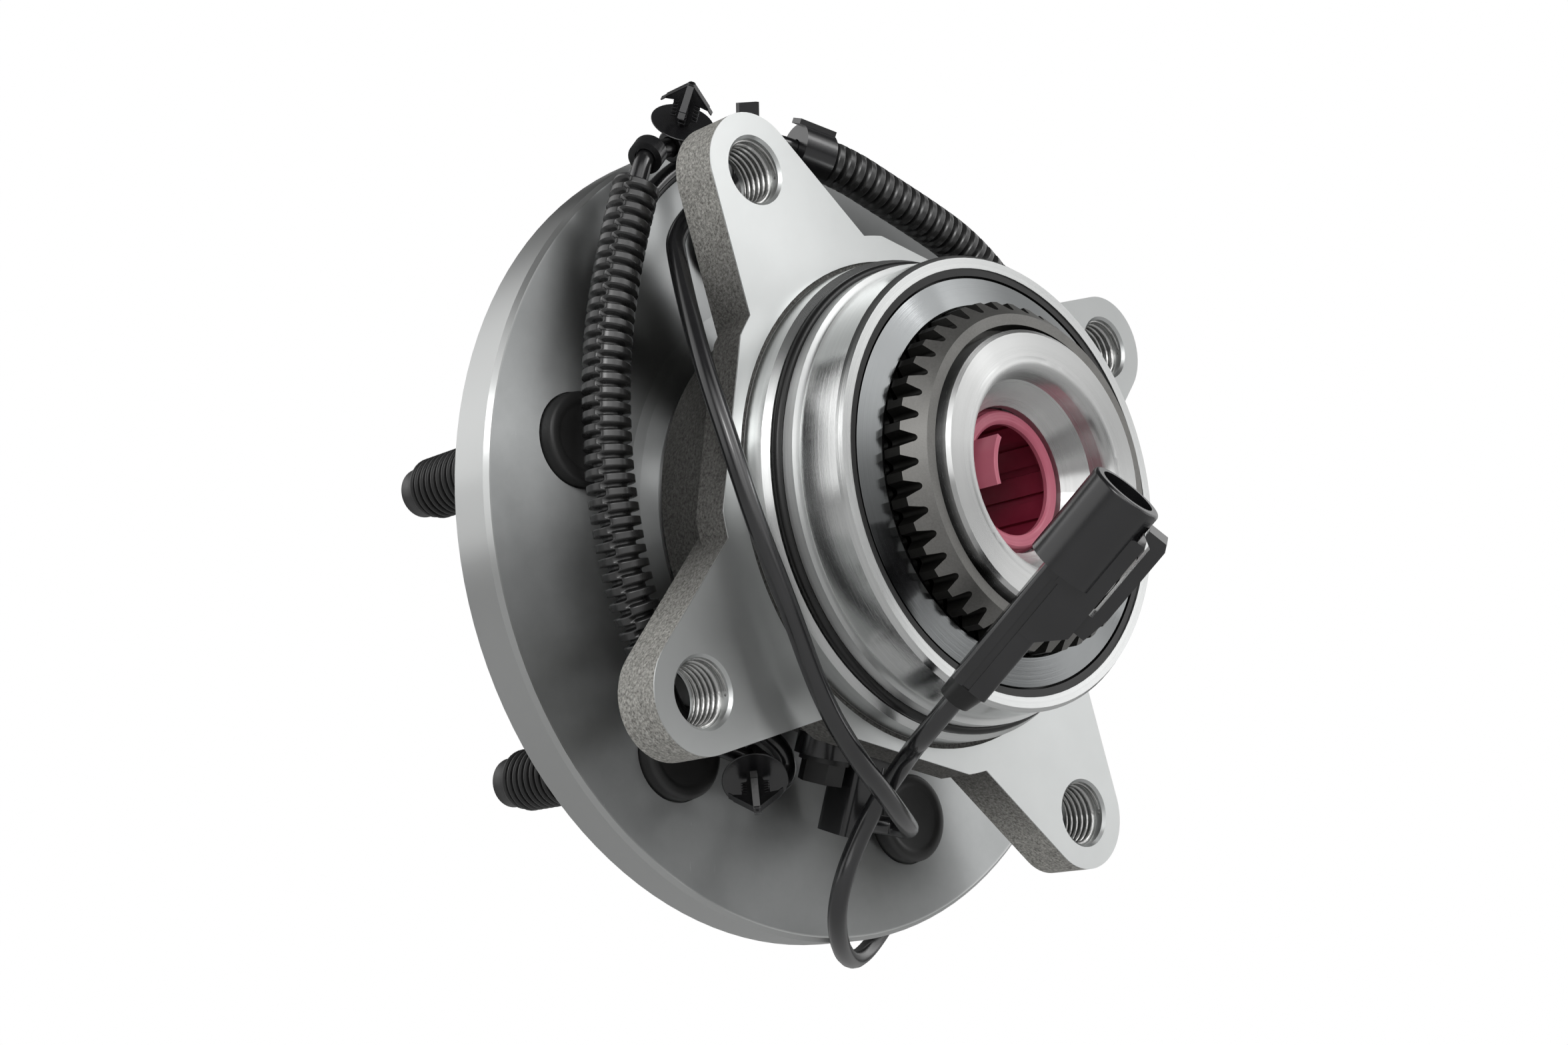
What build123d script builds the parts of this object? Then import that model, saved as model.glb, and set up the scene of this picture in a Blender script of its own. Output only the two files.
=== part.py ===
from build123d import *
import os
from math import atan2, cos, degrees, pi, radians, sin, sqrt, tan

# Wheel hub bearing with knuckle ears, an axle engagement ring and a wheel speed sensor lead.
# Millimetres. The spin axis is Y: +Y points outboard to the wheel, -Y inboard to the axle,
# +Z is up. The origin is on the spin axis at the machined face of the four knuckle ears.

os.makedirs("parts", exist_ok=True)

# ---------------------------------------------------------------- sizes: running fits
moving_gap = 0.3      # between a part that turns and its neighbour
press_gap = 0.0       # between pieces pressed together
slip_gap = 0.2        # between a clip or pin and what it holds

# ---------------------------------------------------------------- sizes: bearing rows
barrel_r = 48.0       # outside of the outer ring
ball_r = 6.35
ball_count = 15
pitch_r = barrel_r - 12.0
row_in_y = -12.6      # inboard row
row_out_y = 19.8      # outboard row
groove_r = ball_r + moving_gap
race_shoulder = 3.5   # shoulder height measured from the ball centres
outer_land_r = pitch_r + race_shoulder
inner_land_r = pitch_r - race_shoulder
outer_race_r = pitch_r + groove_r
inner_race_r = pitch_r - groove_r
shoulder_dy = sqrt(groove_r**2 - race_shoulder**2)

# ---------------------------------------------------------------- sizes: outer ring
ring_in_y = -23.25    # inboard end face
ring_out_y = 30.3     # outboard end face
barrel_edge = 0.8     # inboard end chamfer, radial
barrel_edge_y = 1.2   # inboard end chamfer, axial
band_r = barrel_r + 1.2   # rough turned band
band_in_y = -11.2
band_step = 1.0       # runout groove between barrel and band
groove_in_y = -8.45   # O-ring groove
groove_out_y = -6.15
register_r = barrel_r + 3.7   # knuckle pilot
oring_r = register_r - 1.1    # O-ring outer radius
oring_section = 1.1
register_edge = 1.25
relief_w = 1.0        # undercut ring at the foot of the pilot
relief_d = 0.5
root_r = register_r + 6.7     # web that joins the ears
web_flat = register_r + 3.6   # the web is cut flat between the ears, this far from the axis
web_t = 8.2
casting_r = register_r - 0.8  # casting behind the web
casting_y = web_t + 2.6
cone_end_r = register_r - 4.0 # outboard end of the casting
seal_in_r = barrel_r - 3.0
seal_in_y = -19.4
seal_out_r = barrel_r - 4.2
seal_out_y = 26.4

# ---------------------------------------------------------------- sizes: knuckle ears
ear_count = 4
ear_first = 38.39     # degrees
ear_ring_r = 78.84
ear_end_r = 12.3
ear_taper = 18.0      # half angle of the flanks
ear_t = 12.0
ear_hole_r = 6.9
ear_hole_mouth = 0.6
ear_edge = 1.2
ear_bite = 0.6        # the ears stay this far outside the undercut
ear_core_r = register_r - 4.7   # the ears run into the casting down to here

# ---------------------------------------------------------------- sizes: hub and flange
journal_r = pitch_r - 11.0    # inner ring seat
nose_y = -34.3
nose_r = journal_r + 4.3
nose_edge = 0.8
nose_face_r = nose_r - 5.7
nose_bore_r = nose_face_r - 3.1
lip_drop = 2.0        # axial depth of the rolled bore lip
seat_deep_y = -29.2   # corner above the conical seat
seat_deep_r = nose_bore_r - 0.55
seat_end_y = -24.5
lip_back_y = -27.0    # rolled nose bears here
inner_split_y = 3.0   # inner ring meets the hub here
spline_r = seat_deep_r - 4.45   # tooth tips of the axle spline
spline_in_y = -20.5
runout_r = spline_r + 1.3   # groove where the spline starts
runout_y = -22.8
spline_depth = 1.0
spline_count = 30
flange_r = 90.5
flange_in_y = 33.3
flange_out_y = 44.6
flange_edge = 0.9
boss_r = barrel_r - 1.5   # raised face next to the outboard seal
boss_y = 32.8
dish_r = boss_r + 6.5
dish_y = 34.3
pilot_r = 43.5
pilot_y = 58.0
pilot_edge = 1.4
cup_r = pilot_r - 7.5
cup_y = 46.0
cup_corner = 1.6

# ---------------------------------------------------------------- sizes: wheel studs
stud_count = 6
stud_first = 173.66
stud_ring_r = flange_r - 23.0   # on the 135 mm circle
stud_r = 6.9
stud_knurl_r = 7.3
stud_head_r = 9.9
stud_face_r = 8.9     # flat of the head, inside its rounded rim
stud_head_y = 30.4
stud_dimple_r = 7.4
stud_dimple_d = 0.5
stud_seat_y = 34.6
stud_tip_y = 90.5
stud_dog_r = 5.6
stud_dog_l = 4.0
stud_edge = 0.8
stud_neck_y = 51.0    # the thread starts here
thread_pitch = 2.0
thread_land = 1.0
thread_d = 0.65
spot_r = stud_head_r + 0.3

# ---------------------------------------------------------------- sizes: engagement ring
tooth_count = 45
tooth_first_gap = 123.0
tooth_tip_r = pitch_r + 0.5
tooth_root_r = tooth_tip_r - 2.3
gap_tip_w = 3.7       # gap width at the tooth tips
gap_root_w = 1.7
gear_in_y = -32.2
gear_back_y = -24.0
gear_bore_r = nose_r + 1.4
gear_front_r = gear_bore_r + 2.3   # foot of the lead-in cone on the front face
gear_cone_y = -28.2
gear_web_r = inner_land_r + 0.1

# ---------------------------------------------------------------- sizes: seals and slinger
seal_wall = 1.3
seal_disc = 1.0
slinger_r = seal_in_r - 2.1
slinger_t = 0.8
slinger_step_r = pitch_r + 1.0
slinger_sleeve_l = 5.0
slinger_step_y = -23.9
slinger_rim_y = -22.8
seal_face_y = -22.95
lip_gap = 0.5

# ---------------------------------------------------------------- sizes: tone ring
tone_r = pitch_r + 2.6
tone_in_y = 5.9
tone_out_y = 11.3
tone_slots = 44
tone_slot_w = 2.4
tone_slot_d = 3.2

# ---------------------------------------------------------------- sizes: cages
cage_in_r = pitch_r - 2.4
cage_out_r = pitch_r + 2.4
cage_open = 4.5       # from the ball centres to the open edge
cage_back = 8.0       # from the ball centres to the solid rim

# ---------------------------------------------------------------- sizes: spline protector
guard_gap = 0.1
guard_lip_r = spline_r - 1.0
guard_open_r = guard_lip_r - 2.8
guard_lip_y = -24.5
guard_lip_t = 1.4
guard_tube_y = 10.0
guard_wall = 1.3
guard_flutes = 15
guard_flute_w = 1.6
guard_flute_d = 0.7
tongue_y = -31.4
tongue_from = 153.0
tongue_to = 202.0
tongue_t = 1.2

# ---------------------------------------------------------------- sizes: speed sensor
sensor_r = casting_r + 1.18   # pad height over the spin axis
sensor_y = 18.5       # where the pad normal starts
sensor_tilt = 18.0    # pad normal leans outboard, square to the cone
pad_depth = 3.0
boss_margin = 1.0     # cast boss under the tab
boss_depth = 3.6
tab_top = 1.7
tab_w = 11.0
tab_from_x = -18.6
tab_to_x = 7.6
sensor_w = 8.6
sensor_x = -1.7
sensor_d = 9.6
sensor_h = 17.3
bolt_x = -11.6
bolt_r = 3.0
bolt_depth = 8.5
bolt_head_r = 4.9
bolt_head_h = 4.4
bolt_washer_r = 5.4
bolt_washer_t = 1.1
sleeve_r = 4.4
probe_r = 2.8
probe_tilt = 37.7
probe_l = 9.6

# ---------------------------------------------------------------- sizes: lead
cable_r = 2.05
loom_r = 5.0
loom_core_r = 4.1     # bottom of the grooves between the ribs
loom_pitch = 2.9
loom_rib = 1.5

# ---------------------------------------------------------------- sizes: connector
plug_at = (-15.3, -67.0, -14.0)
plug_dir = (0.125, -0.738, 0.663)
latch_dir = (0.650, -0.445, -0.617)
socket_r = 7.5
socket_bore_r = 5.7
socket_bore_l = 5.0   # plain mouth, down to the pin tips
socket_throat_r = 5.2
socket_throat_l = 1.0   # cone between the mouth and the throat
socket_lip = 0.7      # rounding of the mouth
socket_l = 19.3
socket_depth = 16.5
plug_l = 48.7
plug_low = -3.5
plug_high = 4.6
plug_w = 8.4
rail_high = 8.9
rail_w = 9.0
rail_from = 5.7
rail_to = 31.0
lock_t = 2.6
lock_w = 7.0
lock_from = 2.8
lock_to = 27.0
lock_gap = 0.9
pin_w = 2.2
pin_t = 0.8
pin_pitch = 4.2
pin_l = 11.0
boot_l = 4.3
boot_r = 4.0
boot_end_r = 3.3

# ---------------------------------------------------------------- sizes: clips
clip_wall = 1.3
clip_l = 5.0
neck_r = 1.8
disc_r = 7.0
disc_t = 1.2
disc_off = 4.4        # from the cable axis to the disc
fir_l = 15.5          # from the cable axis to the tip
fir_w = 4.9           # half width over the wings
fir_t = 5.2
fir_stem_w = 1.3
fir_wing_t = 1.5
fir_teeth = 5
fir_tooth = 0.7
fir_point = 1.0       # plain point before the first tooth
fir_gap = 1.6         # between the wings and the disc
fir_crotch = 4.2      # from the tip to where the wings leave the stem
fir_upper = (-0.36, -0.75, 0.547)
fir_lower = (-0.44, -0.55, -0.71)
tag_l = 8.6           # flat tag behind the upper ear, from the cable axis
tag_w = 5.4
tag_t = 1.2
tag_dir = (-0.245, -0.356, 0.90)
fir_upper_face = (0.66, 0.71, 0.25)
fir_lower_face = (0.66, 0.71, 0.25)
strap_l = 9.5         # flat strap on the collar of the right loom
strap_w = 4.0
strap_t = 1.2
collar_r = 5.9        # end collar of the right loom
collar_loom_l = 4.0
collar_cable_l = 4.0
cable_sleeve_r = 3.7
sleeve_l = 3.6


def turned(points, mode=Mode.ADD):
    """Closed outline in radius and Y, turned about the spin axis."""
    with BuildSketch(Plane.XY) as outline:
        with BuildLine():
            Polyline(*points, close=True)
        make_face()
    revolve(outline.sketch, axis=Axis.Y, mode=mode)


def on_circle(r, a):
    return (r * cos(radians(a)), r * sin(radians(a)))


def race_arc(y, a0, a1):
    """Groove arc about the ball centres at y, from angle a0 to a1, as seen in radius and Y."""
    angles = [radians(a) for a in (a0, (a0 + a1) / 2, a1)]
    return ThreePointArc(*[(pitch_r + groove_r * cos(a), y + groove_r * sin(a)) for a in angles])


# angle at which a groove reaches its shoulder
shoulder_a = degrees(atan2(shoulder_dy, race_shoulder))

# ================================================================ sensor pad planes
tilt_s, tilt_c = sin(radians(sensor_tilt)), cos(radians(sensor_tilt))
pad = Plane(origin=(0, sensor_y, -sensor_r), x_dir=(1, 0, 0), z_dir=(0, tilt_s, -tilt_c))
pad_floor = pad.offset(-pad_depth)
probe_from = pad_floor.from_local_coords((sensor_x, 0, 0))
probe_dir = (0, -sin(radians(probe_tilt)), cos(radians(probe_tilt)))
probe_plane = Plane(origin=probe_from, x_dir=(1, 0, 0), z_dir=probe_dir)

# ================================================================ one knuckle ear
foot_u = ear_core_r - 2
flank_u = ear_ring_r + ear_end_r * sin(radians(ear_taper))
flank_v = ear_end_r * cos(radians(ear_taper))
foot_v = flank_v + (flank_u - foot_u) * tan(radians(ear_taper))
with BuildPart() as one_ear:
    with BuildSketch(Plane.XZ):
        with PolarLocations(0, 1, start_angle=ear_first):
            Polygon((foot_u, -foot_v), (flank_u, -flank_v), (flank_u, flank_v), (foot_u, foot_v), align=None)
        with PolarLocations(ear_ring_r, 1, start_angle=ear_first):
            Circle(ear_end_r)
        Circle(ear_core_r, mode=Mode.SUBTRACT)
    extrude(amount=-ear_t)
    with BuildSketch(Plane.XZ):
        Circle(register_r + relief_w + ear_bite)
    extrude(amount=-2 * relief_d, mode=Mode.SUBTRACT)
    back = one_ear.edges().filter_by_position(Axis.Y, ear_t - 0.01, ear_t + 0.01)
    chamfer(back.filter_by(lambda e: (e @ 0.5).X ** 2 + (e @ 0.5).Z ** 2 > root_r**2), ear_edge)

# ================================================================ outer ring
with BuildPart() as outer_ring:
    with BuildSketch(Plane.XY):
        with BuildLine():
            Polyline(
                (outer_race_r, row_in_y),
                (outer_race_r, seal_in_y),
                (seal_in_r, seal_in_y),
                (seal_in_r, ring_in_y),
                (barrel_r - barrel_edge, ring_in_y),
                (barrel_r, ring_in_y + barrel_edge_y),
                (barrel_r, band_in_y - band_step),
                (barrel_r - 0.4, band_in_y - band_step * 0.7),
                (barrel_r - 0.4, band_in_y - band_step * 0.3),
                (band_r, band_in_y),
                (band_r, groove_in_y),
                (oring_r - 2 * oring_section, groove_in_y),
                (oring_r - 2 * oring_section, groove_out_y),
                (register_r - register_edge, groove_out_y),
                (register_r, groove_out_y + register_edge),
                (register_r, relief_d),
                (register_r + relief_w, relief_d),
                (register_r + relief_w, 0),
                (root_r, 0),
                (root_r, web_t),
                (casting_r + 1.2, web_t + 0.5),
                (casting_r, casting_y),
                (cone_end_r, ring_out_y),
                (seal_out_r, ring_out_y),
                (seal_out_r, seal_out_y),
                (outer_race_r, seal_out_y),
                (outer_race_r, row_out_y),
            )
            race_arc(row_out_y, 0, -shoulder_a)
            Line((outer_land_r, row_out_y - shoulder_dy), (outer_land_r, row_in_y + shoulder_dy))
            race_arc(row_in_y, shoulder_a, 0)
        make_face()
    revolve(axis=Axis.Y)
    # flats of the web between the ears
    with BuildSketch(Plane.XZ):
        Circle(root_r + 5)
        Rectangle(2 * web_flat, 2 * web_flat, rotation=ear_first + 45, mode=Mode.SUBTRACT)
    extrude(amount=-casting_y, mode=Mode.SUBTRACT)
    # four tapered ears
    for k in range(ear_count):
        add(one_ear.part.rotate(Axis.Y, 360 / ear_count * k))
    # tapped holes
    with BuildSketch(Plane.XZ):
        with PolarLocations(ear_ring_r, ear_count, start_angle=ear_first):
            Circle(ear_hole_r)
    extrude(amount=-ear_t, mode=Mode.SUBTRACT)
    for k in range(ear_count):
        cx, cz = on_circle(ear_ring_r, ear_first + 360 / ear_count * k)
        with Locations(Plane(origin=(cx, 0, cz), z_dir=(0, 1, 0))):
            Cone(
                ear_hole_r + ear_hole_mouth,
                ear_hole_r,
                ear_hole_mouth,
                align=(Align.CENTER, Align.CENTER, Align.MIN),
                mode=Mode.SUBTRACT,
            )
    # cast boss with a milled pad for the sensor, probe hole and screw hole
    with BuildSketch(pad_floor):
        with Locations(((tab_from_x + tab_to_x) / 2, 0)):
            SlotOverall(tab_to_x - tab_from_x + 2 * boss_margin, tab_w + 2 * boss_margin)
    extrude(amount=-boss_depth)
    with BuildSketch(pad_floor):
        with Locations(((tab_from_x + tab_to_x) / 2, 0)):
            SlotOverall(tab_to_x - tab_from_x + 2 * slip_gap, tab_w + 2 * slip_gap)
    extrude(amount=pad_depth + 3, mode=Mode.SUBTRACT)
    with BuildSketch(probe_plane.offset(-4)):
        Circle(probe_r + slip_gap)
    extrude(amount=probe_l + 12, mode=Mode.SUBTRACT)
    with BuildSketch(pad_floor):
        with Locations((bolt_x, 0)):
            Circle(bolt_r + press_gap)
    extrude(amount=-(bolt_depth - pad_depth), mode=Mode.SUBTRACT)

# ================================================================ O-ring
with BuildPart() as o_ring:
    with BuildSketch(Plane.XY):
        with Locations((oring_r - oring_section, (groove_in_y + groove_out_y) / 2)):
            Circle(oring_section)
    revolve(axis=Axis.Y)

# ================================================================ hub: spindle, flange, pilot
with BuildPart() as hub:
    with BuildSketch(Plane.XY):
        with BuildLine():
            Polyline(
                (spline_r, cup_y),
                (spline_r, spline_in_y),
                (runout_r, spline_in_y),
                (runout_r, runout_y),
                (spline_r, runout_y),
                (spline_r, seat_end_y),
                (seat_deep_r, seat_deep_y),
                (nose_bore_r, nose_y + lip_drop),
            )
            ThreePointArc(
                (nose_bore_r, nose_y + lip_drop),
                (nose_bore_r + (nose_face_r - nose_bore_r) * 0.3, nose_y + lip_drop * 0.25),
                (nose_face_r, nose_y),
            )
            Polyline(
                (nose_face_r, nose_y),
                (nose_r - nose_edge, nose_y),
                (nose_r, nose_y + nose_edge * 0.8),
                (nose_r, lip_back_y),
                (journal_r, lip_back_y),
                (journal_r, inner_split_y),
                (inner_race_r, inner_split_y),
                (inner_race_r, row_out_y),
            )
            race_arc(row_out_y, 180, 180 - shoulder_a)
            Polyline(
                (inner_land_r, row_out_y + shoulder_dy),
                (inner_land_r, boss_y),
                (boss_r, boss_y),
                (dish_r - 2.5, dish_y - 0.4),
                (dish_r, dish_y),
                (flange_r - flange_edge, flange_in_y),
                (flange_r, flange_in_y + flange_edge),
                (flange_r, flange_out_y - flange_edge),
                (flange_r - flange_edge, flange_out_y),
                (pilot_r, flange_out_y),
                (pilot_r, pilot_y - pilot_edge),
                (pilot_r - pilot_edge, pilot_y),
                (cup_r, pilot_y),
                (cup_r, cup_y + cup_corner),
                (cup_r - cup_corner, cup_y),
                (spline_r, cup_y),
            )
        make_face()
    revolve(axis=Axis.Y)
    # stud seats and holes
    with BuildSketch(Plane.XZ.offset(-stud_seat_y)):
        with PolarLocations(stud_ring_r, stud_count, start_angle=stud_first):
            Circle(spot_r)
    extrude(amount=stud_seat_y - boss_y + 1, mode=Mode.SUBTRACT)
    with BuildSketch(Plane.XZ.offset(-stud_seat_y)):
        with PolarLocations(stud_ring_r, stud_count, start_angle=stud_first):
            Circle(stud_knurl_r + press_gap)
    extrude(amount=-(flange_out_y - stud_seat_y), mode=Mode.SUBTRACT)
    # axle spline, cut outward from the bore
    spline_pitch = 2 * pi * spline_r / spline_count
    with BuildSketch(Plane.XZ.offset(-spline_in_y + 0.6)):
        with PolarLocations(0, spline_count, start_angle=0):
            Polygon(
                (spline_r - 1, -spline_pitch * 0.30),
                (spline_r + spline_depth, -spline_pitch * 0.17),
                (spline_r + spline_depth, spline_pitch * 0.17),
                (spline_r - 1, spline_pitch * 0.30),
                align=None,
            )
    extrude(amount=-(cup_y - spline_in_y + 1.8), mode=Mode.SUBTRACT)

# ================================================================ inboard inner ring
with BuildPart() as inner_ring:
    inner_end_y = slinger_step_y + 0.4
    with BuildSketch(Plane.XY):
        with BuildLine():
            Polyline(
                (inner_race_r, row_in_y),
                (inner_race_r, inner_split_y),
                (journal_r + press_gap, inner_split_y),
                (journal_r + press_gap, inner_end_y),
                (inner_land_r, inner_end_y),
                (inner_land_r, row_in_y - shoulder_dy),
            )
            race_arc(row_in_y, 180 + shoulder_a, 180)
        make_face()
    revolve(axis=Axis.Y)

# ================================================================ engagement ring
with BuildSketch() as tooth_gap:
    with BuildLine():
        foot_a = (tooth_root_r + 0.7, -gap_root_w / 2)
        foot_b = (tooth_root_r + 0.7, gap_root_w / 2)
        ThreePointArc(foot_a, (tooth_root_r, 0), foot_b)
        Polyline(foot_b, (tooth_tip_r + 0.3, gap_tip_w / 2), (tooth_tip_r + 0.3, -gap_tip_w / 2), foot_a)
    make_face()
with BuildPart() as toothed_ring:
    turned([
        (gear_bore_r, gear_in_y),
        (gear_front_r, gear_in_y),
        (tooth_tip_r, gear_cone_y),
        (tooth_tip_r, gear_back_y),
        (gear_web_r, gear_back_y),
        (gear_web_r, inner_end_y),
        (journal_r + press_gap, inner_end_y),
        (journal_r + press_gap, lip_back_y),
        (gear_bore_r, lip_back_y),
    ])
    with BuildSketch(Plane.XZ.offset(-gear_in_y + 0.5)):
        with PolarLocations(0, tooth_count, start_angle=tooth_first_gap):
            add(tooth_gap.sketch)
    extrude(amount=-(gear_back_y - gear_in_y + 0.5), mode=Mode.SUBTRACT)

# ================================================================ slinger
with BuildPart() as slinger:
    sling_r = inner_land_r + press_gap
    turned([
        (sling_r, slinger_step_y + slinger_sleeve_l),
        (sling_r, slinger_step_y + 0.6),
        (slinger_step_r - 0.8, slinger_step_y + 0.3),
        (slinger_step_r, slinger_step_y),
        (slinger_r, slinger_rim_y),
        (slinger_r, slinger_rim_y + slinger_t),
        (slinger_step_r + 0.2, slinger_step_y + slinger_t + 0.1),
        (sling_r + slinger_t, slinger_step_y + slinger_t + 0.7),
        (sling_r + slinger_t, slinger_step_y + slinger_sleeve_l),
    ])

# ================================================================ seals
with BuildPart() as seal_inboard:
    turned([
        (seal_in_r, seal_in_y),
        (seal_in_r, seal_face_y),
        (slinger_r + lip_gap, seal_face_y),
        (slinger_r + lip_gap, seal_face_y + 0.9),
        (seal_in_r - seal_wall, seal_face_y + 1.5),
        (seal_in_r - seal_wall, seal_in_y - seal_disc),
        (inner_land_r + slinger_t + lip_gap, seal_in_y - seal_disc),
        (inner_land_r + slinger_t + lip_gap, seal_in_y),
    ])
with BuildPart() as seal_outboard:
    turned([
        (seal_out_r, seal_out_y),
        (seal_out_r, ring_out_y),
        (seal_out_r - seal_wall, ring_out_y),
        (seal_out_r - seal_wall, seal_out_y + seal_disc),
        (pitch_r + 1.6, seal_out_y + seal_disc),
        (pitch_r + 3.2, boss_y - 1.2),
        (pitch_r + 2.2, boss_y - 1.2),
        (pitch_r + 0.4, seal_out_y + seal_disc),
        (inner_land_r + lip_gap, seal_out_y + seal_disc),
        (inner_land_r + lip_gap, seal_out_y),
    ])

# ================================================================ tone ring
with BuildPart() as tone_ring:
    turned([
        (inner_race_r + press_gap, tone_in_y),
        (tone_r, tone_in_y),
        (tone_r, tone_out_y),
        (inner_race_r + press_gap, tone_out_y),
    ])
    with BuildSketch(Plane.XZ.offset(-tone_in_y + 0.5)):
        with PolarLocations(tone_r - tone_slot_d / 2 + 0.5, tone_slots):
            Rectangle(tone_slot_d + 1.0, tone_slot_w)
    extrude(amount=-(tone_out_y - tone_in_y + 1), mode=Mode.SUBTRACT)

# ================================================================ balls and cages
with BuildPart() as balls_inboard:
    for k in range(ball_count):
        bx, bz = on_circle(pitch_r, 360 / ball_count * k)
        with Locations((bx, row_in_y, bz)):
            Sphere(ball_r)
with BuildPart() as balls_outboard:
    for k in range(ball_count):
        bx, bz = on_circle(pitch_r, 360 / ball_count * k)
        with Locations((bx, row_out_y, bz)):
            Sphere(ball_r)


def pockets(y):
    """Planes at the ball centres of a row, facing away from the spin axis."""
    planes = []
    for k in range(ball_count):
        x, z = on_circle(1, 360 / ball_count * k)
        planes.append(Plane(origin=(pitch_r * x, y, pitch_r * z), x_dir=(0, 1, 0), z_dir=(x, 0, z)))
    return planes


with BuildPart() as cage_inboard:
    turned([
        (cage_in_r, row_in_y - cage_open),
        (cage_out_r, row_in_y - cage_open),
        (cage_out_r, row_in_y + cage_back),
        (cage_in_r, row_in_y + cage_back),
    ])
    with Locations(*pockets(row_in_y)):
        Cylinder(ball_r + moving_gap, 4 * (cage_out_r - cage_in_r), mode=Mode.SUBTRACT)
with BuildPart() as cage_outboard:
    turned([
        (cage_in_r, row_out_y + cage_open),
        (cage_out_r, row_out_y + cage_open),
        (cage_out_r, row_out_y - cage_back),
        (cage_in_r, row_out_y - cage_back),
    ])
    with Locations(*pockets(row_out_y)):
        Cylinder(ball_r + moving_gap, 4 * (cage_out_r - cage_in_r), mode=Mode.SUBTRACT)

# ================================================================ spline protector
with BuildPart() as spline_protector:
    guard_r = spline_r - guard_gap
    turned([
        (guard_open_r, guard_lip_y + 0.5),
        (guard_open_r + 0.7, guard_lip_y),
        (guard_lip_r - 0.5, guard_lip_y),
        (guard_lip_r, guard_lip_y + 0.5),
        (guard_lip_r, guard_lip_y + 2.0),
        (guard_r, guard_lip_y + 2.6),
        (guard_r, guard_tube_y),
        (guard_r - guard_wall, guard_tube_y),
        (guard_r - guard_wall, guard_lip_y + guard_lip_t + 1.4),
        (guard_open_r, guard_lip_y + guard_lip_t),
    ])
    with BuildSketch(Plane.XZ.offset(-(guard_lip_y + 3.4))):
        with PolarLocations(guard_r - guard_wall + guard_flute_d / 2 - 0.5, guard_flutes):
            Rectangle(guard_flute_d + 1.0, guard_flute_w)
    extrude(amount=-(guard_tube_y - guard_lip_y), mode=Mode.SUBTRACT)
    # curved finger tongue
    tongue_out_r = guard_open_r + tongue_t
    tongue_mid = (tongue_from + tongue_to) / 2
    inner = [on_circle(guard_open_r, a) for a in (tongue_from, tongue_mid, tongue_to)]
    outer = [on_circle(tongue_out_r, a) for a in (tongue_to, tongue_mid, tongue_from)]
    with BuildSketch(Plane.XZ.offset(-tongue_y)):
        with BuildLine():
            ThreePointArc(*inner)
            Line(inner[-1], outer[0])
            ThreePointArc(*outer)
            Line(outer[-1], inner[0])
        make_face()
    extrude(amount=-(guard_lip_y - tongue_y + 0.9))

# ================================================================ wheel studs
thread_end_y = stud_tip_y - stud_dog_l - stud_edge
stud_outline = [
    (0, stud_head_y + stud_dimple_d),
    (stud_dimple_r, stud_head_y + stud_dimple_d),
    (stud_dimple_r + 0.4, stud_head_y),
    (stud_face_r, stud_head_y),
    (stud_head_r - 0.3, stud_head_y + 0.5),
    (stud_head_r, stud_head_y + 1.4),
    (stud_head_r, stud_seat_y),
    (stud_knurl_r, stud_seat_y),
    (stud_knurl_r, flange_out_y),
    (stud_r, flange_out_y + 0.4),
]
# one ring of the thread after another, from the plain neck to the dog point
thread_slope = (thread_pitch - thread_land) / 2
for k in range(int((thread_end_y - stud_neck_y) / thread_pitch)):
    ring_y = stud_neck_y + thread_pitch * k
    stud_outline += [
        (stud_r, ring_y),
        (stud_r - thread_d, ring_y + thread_slope),
        (stud_r, ring_y + 2 * thread_slope),
    ]
stud_outline += [
    (stud_r, thread_end_y),
    (stud_dog_r, stud_tip_y - stud_dog_l),
    (stud_dog_r, stud_tip_y - stud_edge),
    (stud_dog_r - stud_edge, stud_tip_y),
    (0, stud_tip_y),
]
studs = []
for k in range(stud_count):
    sx, sz = on_circle(stud_ring_r, stud_first + 360 / stud_count * k)
    with BuildPart() as stud:
        turned(stud_outline)
    studs.append(stud.part.moved(Location((sx, 0, sz))))

# ================================================================ speed sensor
with BuildPart() as sensor_body:
    with BuildSketch(pad_floor):
        with Locations(((tab_from_x + tab_to_x) / 2, 0)):
            SlotOverall(tab_to_x - tab_from_x, tab_w)
    extrude(amount=pad_depth + tab_top)
    with BuildSketch(pad.offset(tab_top)):
        with Locations((sensor_x, 0)):
            RectangleRounded(sensor_w, sensor_d, 2.0)
    extrude(amount=sensor_h - tab_top)
    with BuildSketch(pad_floor):
        with Locations((bolt_x, 0)):
            Circle(sleeve_r)
    extrude(amount=pad_depth + tab_top, mode=Mode.SUBTRACT)
    with BuildSketch(probe_plane.offset(-2.0)):
        Circle(probe_r)
    extrude(amount=probe_l + 2.0)
with BuildPart() as sensor_sleeve:
    with BuildSketch(pad_floor):
        with Locations((bolt_x, 0)):
            Circle(sleeve_r)
            Circle(bolt_r + slip_gap, mode=Mode.SUBTRACT)
    extrude(amount=pad_depth + tab_top)
with BuildPart() as sensor_bolt:
    with BuildSketch(pad.offset(-bolt_depth)):
        with Locations((bolt_x, 0)):
            Circle(bolt_r)
    extrude(amount=bolt_depth + tab_top + 0.5)
    with BuildSketch(pad.offset(tab_top)):
        with Locations((bolt_x, 0)):
            Circle(bolt_washer_r)
    extrude(amount=bolt_washer_t)
    with BuildSketch(pad.offset(tab_top + bolt_washer_t)):
        with Locations((bolt_x, 0)):
            RegularPolygon(bolt_head_r, 6)
    extrude(amount=bolt_head_h)

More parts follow.
